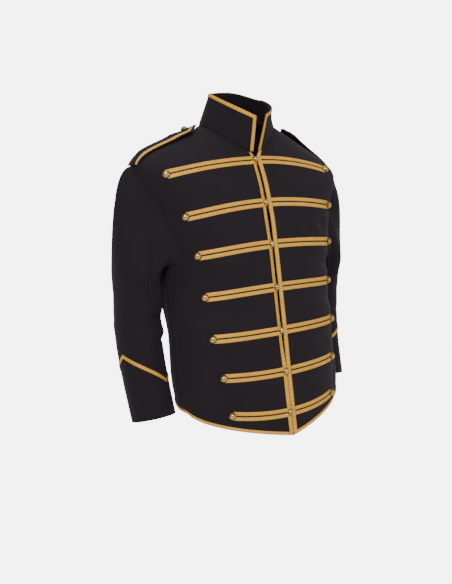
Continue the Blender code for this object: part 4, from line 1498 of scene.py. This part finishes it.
@dataclass
class Strap:
    """A shoulder strap with its tape and button, pointed at the neck end."""

    side: Side
    body: BodyShape
    finishes: Finishes
    buttons: Buttons
    stations: int = 30
    columns: int = 12
    cut: tuple[float, float] = (0.045, 0.152)

    @lru_cache(maxsize=None)
    def ridge(self, along: float) -> tuple[float, Spot, Vector]:
        """The shoulder seam's section number and spot at a distance from the sleeve head, and the way forward."""
        at, distance = TIP_ROW + 0.02, 0.0
        before = self.body.point(self.side, 90.0, at)
        while distance < along and at < NECK_ROW - 0.03:
            at += 0.004
            here = self.body.point(self.side, 90.0, at)
            distance += (here - before).length
            before = here
        spot = self.body.spot(self.side, 90.0, at)
        forward = spot.normal.cross(spot.along_at).normalized()
        return at, spot, (forward if forward.y < 0 else -forward)

    def point(self, along: float, sideways: float, lift: float = 0.0) -> Vector:
        """A point of the strap.

        Args:
            along: distance from the sleeve head.
            sideways: distance to the front.
            lift: distance moved out from the strap's middle layer.

        Returns:
            The point.
        """
        at, spot, forward = self.ridge(along)
        rise = STRAP_LIFT + STRAP_TIP_RISE * (along / STRAP_LENGTH) ** 4 + lift
        share = min(max(along / 0.025, 0.0), 1.0) * min(max((STRAP_LENGTH - 0.012 - along) / 0.040, 0.0), 1.0)
        out = min(abs(sideways) / STRAP_HALF, 1.0)
        rise += share * (STRAP_ARCH * (1.0 - out**1.1) + STRAP_LEAN * (STRAP_HALF - sideways))
        place = self.body.walk(self.side, (90.0, at), forward * sideways)
        flat = spot.point + forward * sideways + spot.normal * rise
        return self.body.point(self.side, *place, rise).lerp(flat, STRAP_FLAT * (along / STRAP_LENGTH) ** 2)

    def cloth(self) -> bpy.types.Object:
        """Builds the strap's cloth."""
        straight = STRAP_LENGTH - STRAP_POINT
        alongs = [straight * i / self.stations for i in range(self.stations + 1)]
        alongs += [straight + STRAP_POINT * i / 6 for i in range(1, 7)]
        points = []
        for along in alongs:
            half = STRAP_HALF * min(1.0, 0.14 + 0.86 * (STRAP_LENGTH - along) / STRAP_POINT)
            points.append([self.point(along, half * (2 * i / self.columns - 1)) for i in range(self.columns + 1)])
        name = f"strap_{self.side.word}"
        piece = Sheet(name, points, STRAP_CLOTH, self.finishes.wool, rounded=0.0006).build()
        return declare(piece, Slot.WOOL, name)

    def tape(self) -> bpy.types.Object:
        """Builds the tape inside the strap's border."""
        base = STRAP_CLOTH / 2 + SEWN_ON + TAPE_THICK / 2

        def edge(share: float, drop: float) -> Line:
            inset = STRAP_TAPE_INSET + STRAP_TAPE_WIDTH * share
            corner = STRAP_LENGTH - STRAP_POINT - 0.40 * inset
            tip = STRAP_LENGTH - 0.0012 - 1.35 * inset
            half = STRAP_HALF - inset
            line = [(0.0006 + (corner - 0.0006) * i / self.stations, half) for i in range(self.stations + 1)]
            line += [(corner + (tip - corner) * i / 6, half * (1 - i / 6)) for i in range(1, 7)]
            line += [(along, -sideways) for along, sideways in line[-2::-1]]
            return [self.point(along, sideways, base - drop) for along, sideways in line]

        name = f"strap_tape_{self.side.word}"
        return declare(strip(name, edge, STRAP_TAPE_WIDTH, self.finishes.gold), Slot.GOLD, name)

    def build(self) -> None:
        """Builds the strap."""
        cloth, tape = self.cloth(), self.tape()
        along = STRAP_LENGTH - STRAP_POINT - 0.0035
        point = self.point(along, 0.0, STRAP_CLOTH / 2 + SEWN_ON)
        normal = (self.point(along, 0.0, 0.01) - point).normalized()
        button = self.buttons.turned(f"strap_button_{self.side.word}", STRAP_BUTTON, point, normal)

    __hash__ = object.__hash__


@dataclass(frozen=True)
class Studio:
    """The camera at the photo's angle, soft lights and a pale floor."""

    look: float = 33.85
    stand: float = 34.7
    distance: float = 1.75
    height: float = -0.040
    pitch: float = 9.35
    roll: float = -2.0
    focal_px: float = 875.0
    frame_px: tuple[int, int] = (452, 584)
    floor_z: float = -1.42
    backdrop: float = 6.0
    room: float = 0.55

    def camera(self) -> None:
        """Sets the camera."""
        look, stand = math.radians(self.look), math.radians(self.stand)
        pitch, roll = math.radians(self.pitch), math.radians(self.roll)
        ahead = Vector((math.sin(look) * math.cos(pitch), math.cos(look) * math.cos(pitch), -math.sin(pitch)))
        right = Vector((math.cos(look), -math.sin(look), 0.0))
        up = right.cross(ahead)
        turned = right * math.cos(roll) + up * math.sin(roll)
        risen = up * math.cos(roll) - right * math.sin(roll)
        data = bpy.data.cameras.new("camera")
        data.sensor_fit = "VERTICAL"
        data.sensor_height = 24.0
        data.lens = data.sensor_height * self.focal_px / self.frame_px[1]
        made = bpy.data.objects.new("camera", data)
        place = Vector((-math.sin(stand) * self.distance, -math.cos(stand) * self.distance, self.height))
        made.matrix_world = Matrix.Translation(place) @ Matrix((turned, risen, -ahead)).transposed().to_4x4()
        bpy.context.scene.collection.objects.link(made)
        bpy.context.scene.camera = made

    def light(self, name: str, place: Sequence[float], size: float, power: float) -> None:
        """Adds a square soft light that faces the jacket.

        Args:
            name: the light's name.
            place: where it stands.
            size: the length of its side.
            power: its power in watts.
        """
        data = bpy.data.lights.new(name, "AREA")
        data.size = size
        data.energy = power
        made = bpy.data.objects.new(name, data)
        aim = Vector((0.0, -0.02, -0.25)) - Vector(place)
        made.matrix_world = Matrix.Translation(Vector(place)) @ aim.to_track_quat("-Z", "Y").to_matrix().to_4x4()
        bpy.context.scene.collection.objects.link(made)

    @staticmethod
    def mixed(nodes: Nodes, lighting: bpy.types.NodeSocket, seen: bpy.types.NodeSocket, output: str) -> None:
        """Shows one shader to the camera and another to everything else, so that floor and backdrop look alike.

        Args:
            nodes: the tree's nodes.
            lighting: the shader that lights the jacket.
            seen: the shader that the camera sees.
            output: the kind of the tree's output.
        """
        path = nodes.add("LightPath")
        mix = nodes.add("MixShader", i0=path.outputs["Is Camera Ray"], i1=lighting, i2=seen)
        out = nodes.add(output)
        nodes.tree.links.new(mix.outputs["Shader"], out.inputs["Surface"])

    def floor(self) -> None:
        """Adds a pale floor that fades into the light round it."""
        mesh = bmesh.new()
        bmesh.ops.create_grid(mesh, x_segments=1, y_segments=1, size=30.0)
        bmesh.ops.translate(mesh, verts=mesh.verts, vec=(0.0, 0.0, self.floor_z))
        data = bpy.data.meshes.new("floor")
        mesh.to_mesh(data)
        mesh.free()
        pale = bpy.data.materials.new("pale_floor")
        pale.use_nodes = True
        nodes = Nodes(pale.node_tree)
        matt = nodes.add("BsdfDiffuse", Color=(0.93, 0.93, 0.93, 1.0))
        lit = nodes.add("Emission", Strength=self.backdrop)
        self.mixed(nodes, matt.outputs["BSDF"], lit.outputs["Emission"], "OutputMaterial")
        data.materials.append(pale)
        made = bpy.data.objects.new("floor", data)
        bpy.context.scene.collection.objects.link(made)

    def build(self) -> None:
        """Builds the studio."""
        self.camera()
        self.floor()
        world = bpy.data.worlds.new("studio")
        bpy.context.scene.world = world
        world.use_nodes = True
        nodes = Nodes(world.node_tree)
        room = nodes.add("Background", Color=(1.0, 1.0, 1.0, 1.0), Strength=self.room)
        behind = nodes.add("Background", Color=(1.0, 1.0, 1.0, 1.0), Strength=self.backdrop)
        self.mixed(nodes, room.outputs["Background"], behind.outputs["Background"], "OutputWorld")
        self.light("key", (-1.9, -2.3, 1.9), 1.1, 105.0)
        self.light("fill", (1.6, -2.6, 0.5), 2.2, 22.0)
        self.light("top", (0.2, 0.4, 2.2), 1.6, 22.0)


def main() -> None:
    """Builds the jacket in its studio."""
    logging.basicConfig(level=logging.INFO, format="%(message)s")
    Studio().build()
    finishes = Finishes.build()
    body, collar = BodyShape(), CollarShape()
    buttons = Buttons(body, finishes)
    tapes = FrontTapes(body, finishes)
    panels = Panels(body, collar, finishes)
    Collar(collar, finishes).build()
    for side in Side:
        trim = [tapes.edge_tape(side)]
        trim += [tapes.row_tape(side, number, row) for number, row in enumerate(ROWS, 1)]
        panels.front(side)
        Sleeve(SleeveShape(side, body), finishes).build()
        Strap(side, body, finishes, buttons).build()
    back, hem = panels.back(), tapes.hem_tape()
    for number, row in enumerate(ROWS, 1):
        buttons.row(number, row)


if __name__ == "__main__":
    main()
